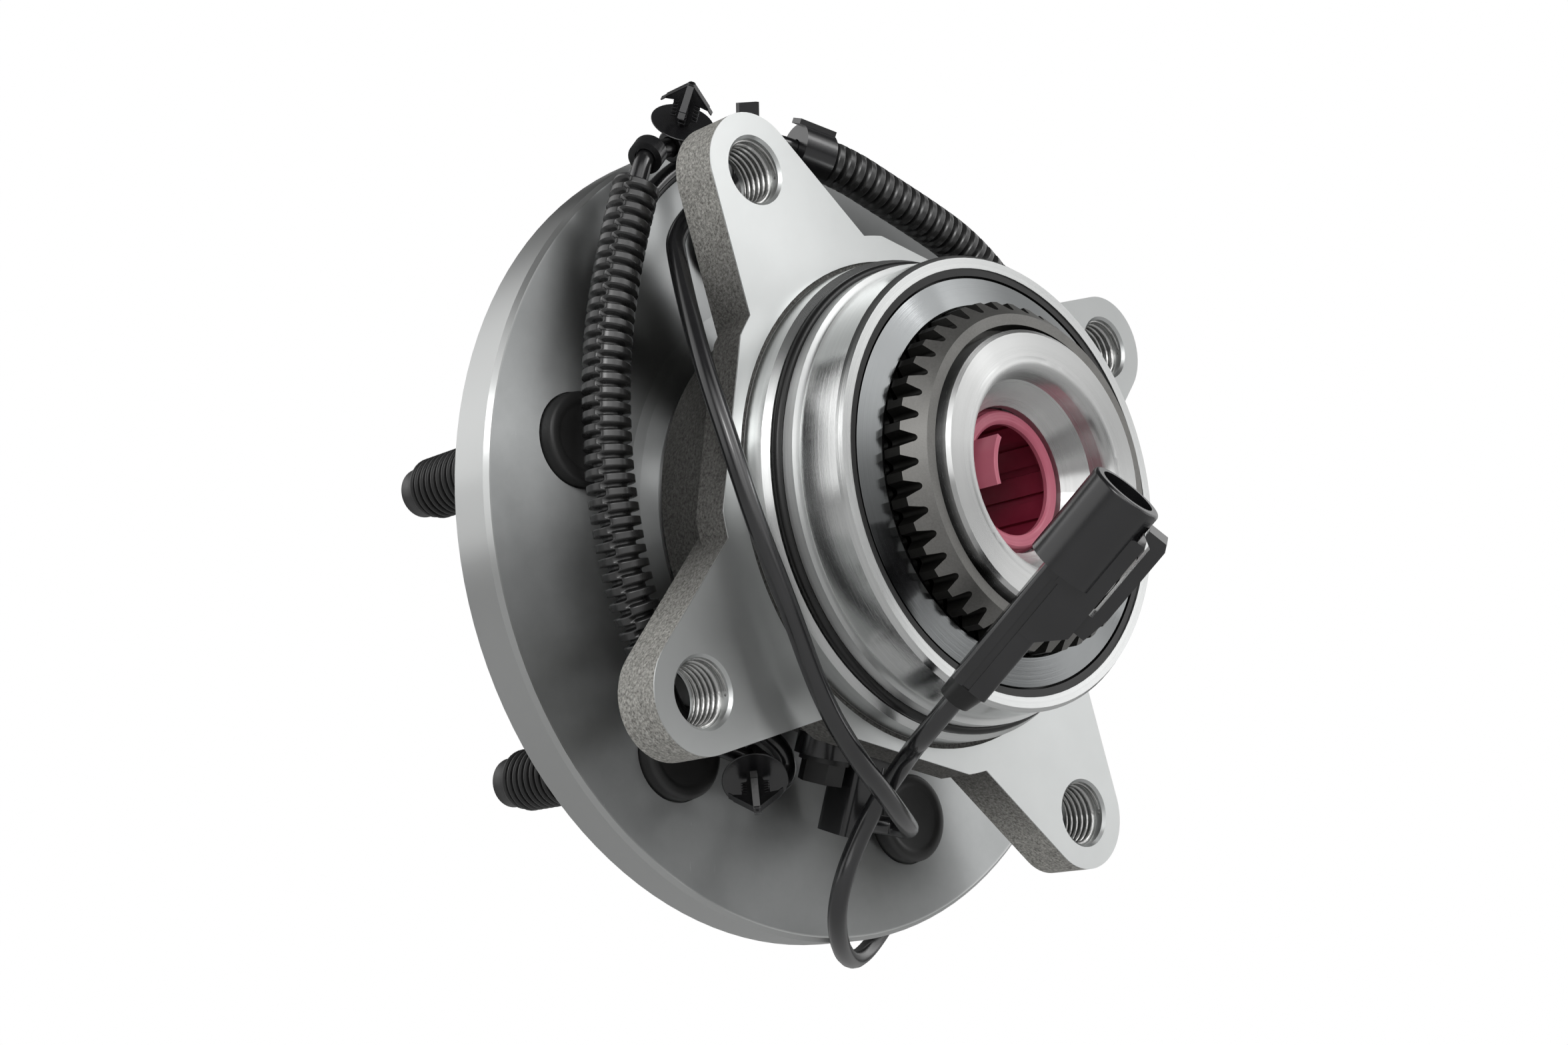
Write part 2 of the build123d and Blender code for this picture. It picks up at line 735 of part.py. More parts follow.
# ================================================================ connector frame
plug_n = Vector(*plug_dir).normalized()
latch_n = (Vector(*latch_dir) - plug_n * Vector(*latch_dir).dot(plug_n)).normalized()
plug = Plane(origin=plug_at, x_dir=latch_n, z_dir=plug_n)
plug_end = Vector(*plug_at) - plug_n * (plug_l + boot_l)

# ================================================================ lead: points of the route
exit_x = sensor_x + sensor_w / 2
route_sensor = [
    (exit_x, 22.2, -65.8), (9.8, 22.2, -65.8), (9.6, 14.6, -67.8), (-3.2, 4.0, -68.1),
    (-16.6, -3.2, -64.1), (-26.6, -6.2, -59.0), (-37.2, -7.2, -48.8), (-47.0, -7.5, -30.5),
    (-54.1, -6.5, -16.2), (-59.1, -4.5, -0.8), (-61.2, 0.5, 14.5), (-59.6, 8.0, 30.1),
    (-58.1, 13.5, 42.8), (-56.4, 17.0, 50.4), (-48.5, 18.0, 60.0), (-39.4, 18.4, 64.6),
    (-34.9, 19.4, 70.6), (-36.0, 20.9, 77.2), (-41.0, 22.0, 79.6), (-46.5, 23.0, 77.1),
    (-54.3, 23.5, 72.1), (-58.9, 21.6, 70.4), (-62.1, 20.3, 66.5), (-63.7, 20.5, 60.4),
]
route_loom_left = [
    (-63.7, 20.5, 60.4), (-65.5, 20.7, 53.4), (-67.6, 21.0, 42.9), (-69.7, 21.0, 30.3),
    (-70.4, 21.0, 18.1), (-70.1, 21.0, 7.6), (-69.0, 21.0, -3.3), (-66.7, 21.0, -14.5),
    (-63.6, 21.0, -24.9), (-59.8, 21.0, -33.2), (-55.5, 21.0, -41.0),
]
route_link = [
    (-55.5, 21.0, -41.0), (-50.8, 21.0, -49.6), (-42.0, 22.9, -53.5), (-31.0, 24.9, -54.1),
    (-22.6, 23.9, -58.5), (-17.6, 27.0, -59.8), (-13.6, 27.8, -56.0), (-16.0, 27.8, -50.8),
    (-23.0, 27.8, -47.8), (-34.0, 27.8, -42.6), (-45.0, 27.8, -37.0), (-54.0, 27.8, -28.6),
    (-58.9, 27.8, -18.4), (-61.4, 27.8, -8.0), (-63.6, 27.8, 4.0), (-64.8, 27.8, 18.0),
    (-64.0, 27.8, 32.0), (-61.8, 27.8, 45.4), (-58.0, 27.8, 57.5), (-51.8, 27.8, 66.6),
    (-43.6, 27.8, 74.0), (-34.0, 26.4, 80.6), (-22.5, 24.3, 84.2), (-12.6, 22.4, 83.0),
]
route_loom_right = [
    (-12.6, 22.4, 83.0), (-3.6, 20.7, 81.9), (9.5, 20.8, 79.2), (22.9, 21.0, 76.6),
    (34.5, 21.0, 73.6), (45.5, 21.0, 67.8), (56.0, 21.0, 59.3), (65.0, 21.0, 48.0),
    (71.6, 21.0, 35.0), (75.0, 21.0, 21.0),
]
route_plug = [
    (75.0, 21.0, 21.0), (77.9, 21.0, 9.1), (84.4, 23.4, -0.8), (93.0, 28.0, -8.4),
    (98.6, 36.0, -15.2), (97.4, 45.4, -23.0), (90.2, 51.4, -33.0), (80.2, 53.6, -43.4),
    (69.0, 54.0, -54.0), (56.5, 53.5, -65.0), (45.6, 52.0, -75.4), (36.5, 50.5, -85.0),
    (27.9, 47.5, -90.8), (13.4, 37.0, -93.8), (-0.6, 26.0, -92.5), (-10.1, 17.5, -87.5),
    (-12.9, 13.0, -80.8), (-10.8, 10.6, -72.3), (-9.1, 6.2, -64.2), (-11.5, -1.4, -59.8),
    (-13.8, -9.0, -55.4),
    tuple(plug_end - plug_n * 10.5),
    tuple(plug_end),
]


def lead_path(points, name):
    """Straight runs joined by tangent arcs, each as large as its two runs allow."""
    pts = [Vector(*p) for p in points]
    radii = []
    for a, b, c in zip(pts, pts[1:], pts[2:]):
        turn = (b - a).get_angle(c - b)
        radii.append(0.45 * min((b - a).length, (c - b).length) / tan(radians(turn / 2)))
    print(name, "radii", [round(r, 1) for r in radii])
    return pts, radii


def lead_length(pts, radii):
    total = sum((b - a).length for a, b in zip(pts, pts[1:]))
    for (a, b, c), r in zip(zip(pts, pts[1:], pts[2:]), radii):
        turn = radians((b - a).get_angle(c - b))
        total += r * turn - 2 * r * tan(turn / 2)
    return total


def lead(points, r, name):
    pts, radii = lead_path(points, name)
    with BuildLine() as path:
        FilletPolyline(*pts, radius=radii)
    start = path.wires()[0]
    with BuildPart() as tube:
        with BuildSketch(Plane(origin=start @ 0, z_dir=start % 0)) as section:
            Circle(r)
        sweep(section.sketch, path=start)
    length = lead_length(pts, radii)
    straight_volume = pi * r * r * length
    print(name, "length", round(length, 1))
    print(name, "volume", round(tube.part.volume, 1), "of", round(straight_volume, 1))
    return tube, start


def loom(points, name):
    """Corrugated tube: a core with a rib every pitch along it."""
    tube, line = lead(points, loom_core_r, name)
    ribs = int((line.length - loom_rib) / loom_pitch) + 1
    first = (line.length - loom_pitch * (ribs - 1)) / 2
    with BuildPart() as ribbed:
        add(tube.part)
        for k in range(ribs):
            share = (first + loom_pitch * k) / line.length
            at, along = line @ share, line % share
            with BuildSketch(Plane(origin=at - along * (loom_rib / 2), z_dir=along)) as rib:
                Circle(loom_r)
            extrude(rib.sketch, amount=loom_rib)
    return ribbed


cable_sensor = lead(route_sensor, cable_r, "cable_sensor")[0]
loom_left = loom(route_loom_left, "loom_left")
cable_link = lead(route_link, cable_r, "cable_link")[0]
loom_right = loom(route_loom_right, "loom_right")
cable_plug = lead(route_plug, cable_r, "cable_plug")[0]

# ================================================================ connector
def plug_side(width):
    """Plane of the rail's outline, at the side of a piece this wide."""
    corner = plug.from_local_coords((0, -width / 2, 0))
    return Plane(origin=corner, x_dir=latch_n, z_dir=plug.y_dir)


with BuildPart() as connector_housing:
    with BuildSketch(plug.offset(-socket_l)):
        Circle(socket_r)
    extrude(amount=socket_l)
    fillet(connector_housing.edges().group_by(Axis(plug_at, plug_n))[-1], socket_lip)
    with BuildSketch(plug.offset(-plug_l)):
        with Locations(((plug_low + plug_high) / 2, 0)):
            RectangleRounded(plug_high - plug_low, plug_w, 1.2)
    extrude(amount=plug_l - socket_l + 1.5)
    # latch rail with a sloped tail
    with BuildSketch(plug_side(rail_w)):
        with BuildLine():
            Polyline(
                (0, rail_from + 4.5),
                (plug_high + 2.0, rail_from),
                (rail_high, rail_from),
                (rail_high, rail_to - 2.6),
                (plug_high - 0.6, rail_to + 2.4),
                (0, rail_to + 2.4),
                close=True,
            )
        make_face()
    extrude(amount=rail_w)
    with BuildSketch(plug.offset(-socket_depth)):
        Circle(socket_throat_r)
    extrude(amount=socket_depth, mode=Mode.SUBTRACT)
    with BuildSketch(plug.offset(-socket_bore_l - socket_throat_l)):
        Circle(socket_throat_r)
    with BuildSketch(plug.offset(-socket_bore_l)):
        Circle(socket_bore_r)
    loft(mode=Mode.SUBTRACT)
    with BuildSketch(plug.offset(-socket_bore_l)):
        Circle(socket_bore_r)
    extrude(amount=socket_bore_l, mode=Mode.SUBTRACT)
    # side grooves along the body
    for side in (-1, 1):
        with BuildSketch(plug.offset(-plug_l)):
            with Locations(((plug_low + plug_high) / 2 - 0.6, side * plug_w / 2)):
                Rectangle(1.6, 1.2)
        extrude(amount=plug_l - socket_l - 2.0, mode=Mode.SUBTRACT)
with BuildPart() as connector_lock:
    # sliding lock plate with a hooked nose, standing on its foot at the tail of the rail
    with BuildSketch(plug_side(lock_w)):
        with BuildLine():
            Polyline(
                (rail_high, lock_to),
                (rail_high + lock_gap + lock_t * 0.6, lock_to),
                (rail_high + lock_gap + lock_t, lock_to - 6.0),
                (rail_high + lock_gap + lock_t, lock_from + 1.4),
                (rail_high + lock_gap + lock_t - 0.8, lock_from),
                (rail_high - 1.2, lock_from),
                (rail_high - 1.2, lock_from + 1.4),
                (rail_high + lock_gap, lock_from + 2.6),
                (rail_high + lock_gap, lock_to - 4.5),
                (rail_high, lock_to - 4.5),
                close=True,
            )
        make_face()
    extrude(amount=lock_w)
with BuildPart() as connector_pins:
    with BuildSketch(plug.offset(-socket_depth)):
        with Locations((0, -pin_pitch / 2), (0, pin_pitch / 2)):
            Rectangle(pin_t, pin_w)
    extrude(amount=pin_l)
with BuildPart() as cable_boot:
    boot_seat = Plane(origin=plug.from_local_coords(((plug_low + plug_high) / 2, 0, -plug_l)), z_dir=-plug_n)
    boot_nose = Plane(origin=plug_end, z_dir=-plug_n)
    with BuildSketch(boot_seat):
        Circle(boot_r)
    with BuildSketch(boot_nose):
        Circle(boot_end_r)
    loft()

# ================================================================ clips on the lead


def middle(points, k):
    """Middle of run k of a route and its direction."""
    a, b = Vector(*points[k]), Vector(*points[k + 1])
    return (a + b) / 2, (b - a).normalized()


def square(direction, along):
    """The part of a direction that is square to the cable."""
    d = Vector(*direction)
    return (d - along * d.dot(along)).normalized()


def collar(at, along, length, r_out):
    with BuildSketch(Plane(origin=at - along * (length / 2), z_dir=along)) as ring:
        Circle(r_out)
    extrude(ring.sketch, amount=length)


def bored(at, along, length, r_in):
    with BuildSketch(Plane(origin=at - along * (length / 2 + 1), z_dir=along)) as hole:
        Circle(r_in)
    extrude(hole.sketch, amount=length + 2, mode=Mode.SUBTRACT)


def fir_outline():
    """Arrow with a stem and two toothed wings, half width against distance from the cable axis."""
    foot = disc_off + disc_t * 0.5
    wing_end = disc_off + disc_t + fir_gap
    slope = fir_w / (fir_l - wing_end)
    step = (fir_l - fir_point - wing_end) / fir_teeth
    edge = [(fir_l, 0)]
    for k in range(fir_teeth):
        far = fir_point + step * k
        edge.append((fir_l - far, slope * far - (fir_tooth if k else 0)))
        edge.append((fir_l - far - step, slope * (far + step)))
    edge.append((wing_end, fir_w - fir_wing_t))
    edge.append((fir_l - fir_crotch, fir_stem_w))
    edge.append((foot, fir_stem_w))
    return edge + [(u, -w) for u, w in reversed(edge[1:])]


def fir_clip(at, along, direction, facing):
    """Cable collar, cover disc and push-in tree whose flat side looks along facing."""
    out = square(direction, along)
    face = square(facing, out)
    with BuildPart() as clip:
        collar(at, along, clip_l, cable_r + slip_gap + clip_wall)
        with BuildSketch(Plane(origin=at, z_dir=out)) as neck:
            Circle(neck_r)
        extrude(neck.sketch, amount=disc_off + disc_t)
        with BuildSketch(Plane(origin=at + out * disc_off, z_dir=out)) as disc:
            Circle(disc_r)
        extrude(disc.sketch, amount=disc_t)
        with BuildSketch(Plane(origin=at - face * (fir_t / 2), x_dir=out, z_dir=face)) as tree:
            with BuildLine():
                Polyline(*fir_outline(), close=True)
            make_face()
        extrude(tree.sketch, amount=fir_t)
        bored(at, along, clip_l, cable_r + slip_gap)
    return clip


clip_upper = fir_clip(*middle(route_sensor, 19), fir_upper, fir_upper_face)
clip_lower = fir_clip(*middle(route_link, 3), fir_lower, fir_lower_face)
tag_at, tag_along = middle(route_link, 21)
tag_out = square(tag_dir, tag_along)
with BuildPart() as clip_tag:
    collar(tag_at, tag_along, clip_l, cable_r + slip_gap + clip_wall)
    with BuildSketch(Plane(origin=tag_at, x_dir=tag_along, z_dir=tag_out)) as tag:
        Rectangle(tag_w, tag_t)
    extrude(tag.sketch, amount=tag_l)
    bored(tag_at, tag_along, clip_l + 4, cable_r + slip_gap)
sleeve_at, sleeve_along = middle(route_sensor, 21)
with BuildPart() as cable_sleeve:
    collar(sleeve_at, sleeve_along, sleeve_l, cable_sleeve_r)
    bored(sleeve_at, sleeve_along, sleeve_l, cable_r + slip_gap)
loom_at = Vector(*route_loom_right[0])
loom_along = (Vector(*route_loom_right[1]) - loom_at).normalized()
with BuildPart() as loom_collar:
    with BuildSketch(Plane(origin=loom_at - loom_along * collar_cable_l, z_dir=loom_along)) as cap:
        Circle(collar_r)
    extrude(cap.sketch, amount=collar_cable_l + collar_loom_l)
    with BuildSketch(Plane(origin=loom_at, z_dir=loom_along)) as mouth:
        Circle(loom_r + slip_gap)
    extrude(mouth.sketch, amount=collar_loom_l + 1, mode=Mode.SUBTRACT)
    # flat strap along the top of the collar
    strap_out = square(tag_dir, loom_along)
    strap_from = loom_at + loom_along * (collar_loom_l - strap_l) + strap_out * (collar_r - 0.4)
    with BuildSketch(Plane(origin=strap_from, x_dir=strap_out, z_dir=loom_along)) as strap:
        with Locations((strap_t / 2, 0)):
            Rectangle(strap_t, strap_w)
    extrude(strap.sketch, amount=strap_l)
    bored(loom_at, loom_along, collar_cable_l * 2, cable_r + slip_gap)

for name, part in (
    ("outer_ring", outer_ring.part),
    ("o_ring", o_ring.part),
    ("hub", hub.part),
    ("inner_ring", inner_ring.part),
    ("toothed_ring", toothed_ring.part),
    ("slinger", slinger.part),
    ("seal_inboard", seal_inboard.part),
    ("seal_outboard", seal_outboard.part),
    ("tone_ring", tone_ring.part),
    ("balls_inboard", balls_inboard.part),
    ("balls_outboard", balls_outboard.part),
    ("cage_inboard", cage_inboard.part),
    ("cage_outboard", cage_outboard.part),
    ("spline_protector", spline_protector.part),
    ("sensor_body", sensor_body.part),
    ("sensor_sleeve", sensor_sleeve.part),
    ("sensor_bolt", sensor_bolt.part),
    ("cable_sensor", cable_sensor.part),
    ("loom_left", loom_left.part),
    ("cable_link", cable_link.part),
    ("loom_right", loom_right.part),
    ("cable_plug", cable_plug.part),
    ("connector_housing", connector_housing.part),
    ("connector_lock", connector_lock.part),
    ("connector_pins", connector_pins.part),
    ("cable_boot", cable_boot.part),
    ("clip_upper", clip_upper.part),
    ("clip_lower", clip_lower.part),
    ("clip_tag", clip_tag.part),
    ("cable_sleeve", cable_sleeve.part),
    ("loom_collar", loom_collar.part),
):
    part.label = name
    export_step(part, f"parts/{name}.step")
for k, part in enumerate(studs):
    part.label = f"wheel_stud_{k + 1}"
    export_step(part, f"parts/{part.label}.step")
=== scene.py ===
from math import cos, pi, radians, sin, tau

import bmesh
import bpy
from mathutils import Matrix, Vector

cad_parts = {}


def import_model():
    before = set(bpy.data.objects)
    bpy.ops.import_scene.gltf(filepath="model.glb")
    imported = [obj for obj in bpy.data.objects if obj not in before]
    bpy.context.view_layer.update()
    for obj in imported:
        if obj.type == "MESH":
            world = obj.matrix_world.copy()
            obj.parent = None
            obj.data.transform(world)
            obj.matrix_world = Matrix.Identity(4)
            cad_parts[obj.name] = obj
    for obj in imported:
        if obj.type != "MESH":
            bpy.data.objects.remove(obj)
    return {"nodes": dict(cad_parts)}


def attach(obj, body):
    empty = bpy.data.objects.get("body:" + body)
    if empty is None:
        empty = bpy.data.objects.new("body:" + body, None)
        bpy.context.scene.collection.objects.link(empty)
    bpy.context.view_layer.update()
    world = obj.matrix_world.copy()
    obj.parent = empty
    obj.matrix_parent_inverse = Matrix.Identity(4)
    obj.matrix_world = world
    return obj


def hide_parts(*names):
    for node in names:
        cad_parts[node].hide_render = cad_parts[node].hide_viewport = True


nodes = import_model()["nodes"]
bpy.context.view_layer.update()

MM = 0.001


def circle_of(count, radius, first):
    """Centres (x, z) evenly spaced on a circle; first is the first one's angle in degrees."""
    angles = [radians(first + 360 / count * k) for k in range(count)]
    return [(radius * cos(a), radius * sin(a)) for a in angles]


# ---------------------------------------------------------------- sizes in millimetres
AXIS_R = 0.01              # radius at which a turned outline ends on its axis
EAR_CENTRES = circle_of(4, 78.84, 38.39)
STUD_CENTRES = circle_of(6, 67.5, 173.66)
# radius at the foot and at the crest of the ridge, pitch, first and last y
EAR_THREAD = (6.95, 6.05, 1.5, 0.8, 11.9)
STUD_THREAD = (6.15, 6.88, 2.0, 50.6, 86.4)
# half widths of the ridge at its foot and at its crest, as shares of the pitch
THREAD_FOOT = 0.46
THREAD_CREST = 0.09
# radius and y, from the middle of the head to the middle of the tip
STUD_PROFILE = [
    (AXIS_R, 30.95), (6.6, 30.92), (7.2, 30.75), (7.6, 30.5), (8.1, 30.42), (8.9, 30.42), (9.45, 30.62),
    (9.75, 31.0), (9.86, 31.8), (9.86, 34.55), (7.25, 34.55), (7.25, 44.55), (6.9, 45.1), (6.85, 50.6),
    (6.2, 51.3), (6.2, 85.6), (5.5, 86.6), (5.5, 89.9), (4.9, 90.45), (AXIS_R, 90.45),
]

CABLE_R = 2.05
LOOM_R = 5.0
LOOM_GROOVE_R = 3.2
LOOM_PITCH = 2.9
LOOM_RIB = 0.30            # half width of a rib at half its height, as a share of the pitch
LOOM_FLANK = 0.09          # width of a rib's flank, as a share of the pitch
LOOM_ROWS = 12             # rows of points for each rib
LOOM_AROUND = 48
LEFT_SEAM = radians(12.0)
RIGHT_SEAM = radians(90.0)

CLIP_WALL = 1.3
CLIP_LENGTH = 5.0
CLIP_GAP = 0.2
COLLAR_EDGE = 0.3
NECK_R = 1.8
NECK_BITE = 0.5            # how far the neck starts inside the collar's wall
DISC_R = 6.9
DISC_FLAT_R = 3.0
DISC_AT = 4.4              # from the cable axis, as are the next three
TREE_FOOT = 5.0
TREE_HEAD = 10.9           # foot of the arrow head
TREE_TIP = 15.4
TREE_WIDTH = 4.8           # half width of the arrow head
TREE_PLATE = 1.5
FOOT_WIDTH = 1.3           # half widths of the stem: at its foot, between ridges and over them
STEM_WIDTH = 1.8
RIDGE_WIDTH = 2.9
RIDGE_COUNT = 5
RIDGE_START = 1.6          # from the foot of the stem
UPPER_CLIP = Vector((-0.36, -0.75, 0.547))
LOWER_CLIP = Vector((-0.44, -0.55, -0.71))
CLIP_FACING = Vector((0.66, 0.71, 0.25))
UPPER_CLIP_RUN = 19        # the clip sits between this point of its route and the next
LOWER_CLIP_RUN = 3

# ---------------------------------------------------------------- camera
CAMERA_AT = Vector((-354.6, -338.0, -132.2)) * MM
CAMERA_FORWARD = Vector((0.6581, 0.7092, 0.2526)).normalized()
CAMERA_RIGHT = Vector((0.733, -0.680, 0.0)).normalized()
CAMERA_LENS = 54.66
SENSOR_WIDTH = 36.0


def add_camera():
    """The photograph's view: from low on the left, looking up at the inboard side."""
    data = bpy.data.cameras.new("view")
    data.lens = CAMERA_LENS
    data.sensor_width = SENSOR_WIDTH
    data.clip_start = 0.01
    data.clip_end = 20
    camera = bpy.data.objects.new("view", data)
    bpy.context.scene.collection.objects.link(camera)
    back = -CAMERA_FORWARD
    right = (CAMERA_RIGHT - back * CAMERA_RIGHT.dot(back)).normalized()
    up = back.cross(right)
    turn = Matrix((right, up, back)).transposed().to_4x4()
    camera.matrix_world = Matrix.Translation(CAMERA_AT) @ turn
    bpy.context.scene.camera = camera


# ---------------------------------------------------------------- lead: the route's points, millimetres
CABLE_SENSOR = [
    (2.6, 22.2, -65.8), (9.8, 22.2, -65.8), (9.6, 14.6, -67.8), (-3.2, 4.0, -68.1),
    (-16.6, -3.2, -64.1), (-26.6, -6.2, -59.0), (-37.2, -7.2, -48.8), (-47.0, -7.5, -30.5),
    (-54.1, -6.5, -16.2), (-59.1, -4.5, -0.8), (-61.2, 0.5, 14.5), (-59.6, 8.0, 30.1),
    (-58.1, 13.5, 42.8), (-56.4, 17.0, 50.4), (-48.5, 18.0, 60.0), (-39.4, 18.4, 64.6),
    (-34.9, 19.4, 70.6), (-36.0, 20.9, 77.2), (-41.0, 22.0, 79.6), (-46.5, 23.0, 77.1),
    (-54.3, 23.5, 72.1), (-58.9, 21.6, 70.4), (-62.1, 20.3, 66.5), (-63.7, 20.5, 60.4),
]
LOOM_LEFT = [
    (-63.7, 20.5, 60.4), (-65.5, 20.7, 53.4), (-67.6, 21.0, 42.9), (-69.7, 21.0, 30.3),
    (-70.4, 21.0, 18.1), (-70.1, 21.0, 7.6), (-69.0, 21.0, -3.3), (-66.7, 21.0, -14.5),
    (-63.6, 21.0, -24.9), (-59.8, 21.0, -33.2), (-55.5, 21.0, -41.0),
]
CABLE_LINK = [
    (-55.5, 21.0, -41.0), (-50.8, 21.0, -49.6), (-42.0, 22.9, -53.5), (-31.0, 24.9, -54.1),
    (-22.6, 23.9, -58.5), (-17.6, 27.0, -59.8), (-13.6, 27.8, -56.0), (-16.0, 27.8, -50.8),
    (-23.0, 27.8, -47.8), (-34.0, 27.8, -42.6), (-45.0, 27.8, -37.0), (-54.0, 27.8, -28.6),
    (-58.9, 27.8, -18.4), (-61.4, 27.8, -8.0), (-63.6, 27.8, 4.0), (-64.8, 27.8, 18.0),
    (-64.0, 27.8, 32.0), (-61.8, 27.8, 45.4), (-58.0, 27.8, 57.5), (-51.8, 27.8, 66.6),
    (-43.6, 27.8, 74.0), (-34.0, 26.4, 80.6), (-22.5, 24.3, 84.2), (-12.6, 22.4, 83.0),
]
LOOM_RIGHT = [
    (-12.6, 22.4, 83.0), (-3.6, 20.7, 81.9), (9.5, 20.8, 79.2), (22.9, 21.0, 76.6),
    (34.5, 21.0, 73.6), (45.5, 21.0, 67.8), (56.0, 21.0, 59.3), (65.0, 21.0, 48.0),
    (71.6, 21.0, 35.0), (75.0, 21.0, 21.0),
]
CABLE_PLUG = [
    (75.0, 21.0, 21.0), (77.9, 21.0, 9.1), (84.4, 23.4, -0.8), (93.0, 28.0, -8.4),
    (98.6, 36.0, -15.2), (97.4, 45.4, -23.0), (90.2, 51.4, -33.0), (80.2, 53.6, -43.4),
    (69.0, 54.0, -54.0), (56.5, 53.5, -65.0), (45.6, 52.0, -75.4), (36.5, 50.5, -85.0),
    (27.9, 47.5, -90.8), (13.4, 37.0, -93.8), (-0.6, 26.0, -92.5), (-10.1, 17.5, -87.5),
    (-12.9, 13.0, -80.8), (-10.8, 10.6, -72.3), (-9.1, 6.2, -64.2), (-11.5, -1.4, -59.8),
    (-13.8, -9.0, -55.4),
]
# the lead runs straight into the connector's boot
PLUG_AT = Vector((-15.3, -67.0, -14.0))
PLUG_DIR = Vector((0.125, -0.738, 0.663)).normalized()
PLUG_LENGTH = 48.7
BOOT_LENGTH = 4.3
PLUG_STRAIGHT = 10.5
PLUG_END = PLUG_AT - PLUG_DIR * (PLUG_LENGTH + BOOT_LENGTH)
CABLE_PLUG += [tuple(PLUG_END - PLUG_DIR * PLUG_STRAIGHT), tuple(PLUG_END)]


def link(obj):
    bpy.context.scene.collection.objects.link(obj)
    return obj


def route_curve(name, points, radius, resolution=8):
    """Smooth open NURBS line with the given control points in millimetres."""
    data = bpy.data.curves.new(name, "CURVE")
    data.dimensions = "3D"
    data.resolution_u = resolution
    spline = data.splines.new("NURBS")
    spline.points.add(len(points) - 1)
    for point, at in zip(spline.points, points):
        point.co = (*(Vector(at) * MM), 1.0)
    spline.order_u = 3
    spline.use_endpoint_u = True
    data.bevel_depth = radius * MM
    data.bevel_resolution = 5
    data.use_fill_caps = radius > 0
    return link(bpy.data.objects.new(name, data))


def line_points(points, resolution=12):
    """Points in metres along the NURBS line, read from the curve itself."""
    curve = route_curve("line", points, 0.0, resolution)
    mesh = bpy.data.meshes.new_from_object(curve)
    line = [v.co.copy() for v in mesh.vertices]
    bpy.data.meshes.remove(mesh)
    bpy.data.objects.remove(curve)
    return line


# ---------------------------------------------------------------- mesh helpers
def mesh_object(name, verts, faces, body, smooth=True):
    """Mesh from points in metres, with its normals outward, riding on a body."""
    mesh = bpy.data.meshes.new(name)
    mesh.from_pydata(verts, [], faces)
    work = bmesh.new()
    work.from_mesh(mesh)
    bmesh.ops.recalc_face_normals(work, faces=work.faces)
    work.to_mesh(mesh)
    work.free()
    for face in mesh.polygons:
        face.use_smooth = smooth
    obj = link(bpy.data.objects.new(name, mesh))
    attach(obj, body)
    return obj


def bound_edges(obj, width, segments=2, angle=35):
    """Rounds the sharp edges of a piece."""
    bevel = obj.modifiers.new("edges", "BEVEL")
    bevel.width = width * MM
    bevel.segments = segments
    bevel.limit_method = "ANGLE"
    bevel.angle_limit = radians(angle)
    bevel.harden_normals = True


def even_line(line, step):
    """Points a fixed distance apart along a line in metres, with their distance from its start."""
    lengths = [0.0]
    for a, b in zip(line, line[1:]):
        lengths.append(lengths[-1] + (b - a).length)
    count = max(2, round(lengths[-1] / step))
    out = []
    k = 0
    for i in range(count + 1):
        want = lengths[-1] * i / count
        while k < len(lengths) - 2 and lengths[k + 1] < want:
            k += 1
        span = lengths[k + 1] - lengths[k]
        share = 0 if span == 0 else (want - lengths[k]) / span
        out.append((line[k].lerp(line[k + 1], share), want))
    return out


def swept(name, line, step, around, radius, body):
    """Closed tube along a line; radius is a function of distance and angle, in metres."""
    stations = even_line(line, step)
    verts, faces = [], []
    side = None
    for i, (at, distance) in enumerate(stations):
        ahead = stations[min(i + 1, len(stations) - 1)][0] - stations[max(i - 1, 0)][0]
        along = ahead.normalized()
        if side is None:
            side = along.orthogonal().normalized()
        side = (side - along * side.dot(along)).normalized()
        up = along.cross(side)
        for k in range(around):
            angle = tau * k / around
            verts.append(at + (side * cos(angle) + up * sin(angle)) * radius(distance, angle))
    rings = len(stations)
    for i in range(rings - 1):
        for k in range(around):
            n = (k + 1) % around
            faces.append((i * around + k, i * around + n, (i + 1) * around + n, (i + 1) * around + k))
    faces.append(tuple(range(around))[::-1])
    faces.append(tuple((rings - 1) * around + k for k in range(around)))
    return mesh_object(name, verts, faces, body)


def helix(name, centre, thread, body, steps=36):
    """Thread ridge round a line along Y through centre (x, z); each end fades out over half a turn."""
    foot, crest, pitch, start, end = thread
    turns = (end - start) / pitch - 1
    count = max(8, round(turns * steps))
    profile = ((foot, -THREAD_FOOT), (crest, -THREAD_CREST), (crest, THREAD_CREST), (foot, THREAD_FOOT))
    verts, faces = [], []
    for i in range(count + 1):
        share = i / count
        angle = tau * turns * share
        level = start + pitch / 2 + pitch * turns * share
        fade = min(1.0, share * turns * 2, (1 - share) * turns * 2)
        for r, offset in profile:
            if r == crest:
                r = foot + (crest - foot) * max(0.05, fade)
            x = centre[0] + r * cos(angle)
            z = centre[1] + r * sin(angle)
            verts.append(Vector((x, level + offset * pitch, z)) * MM)
    for i in range(count):
        for k in range(4):
            n = (k + 1) % 4
            faces.append((4 * i + k, 4 * i + n, 4 * i + 4 + n, 4 * i + 4 + k))
    faces.append((3, 2, 1, 0))
    faces.append((4 * count, 4 * count + 1, 4 * count + 2, 4 * count + 3))
    return mesh_object(name, verts, faces, body)


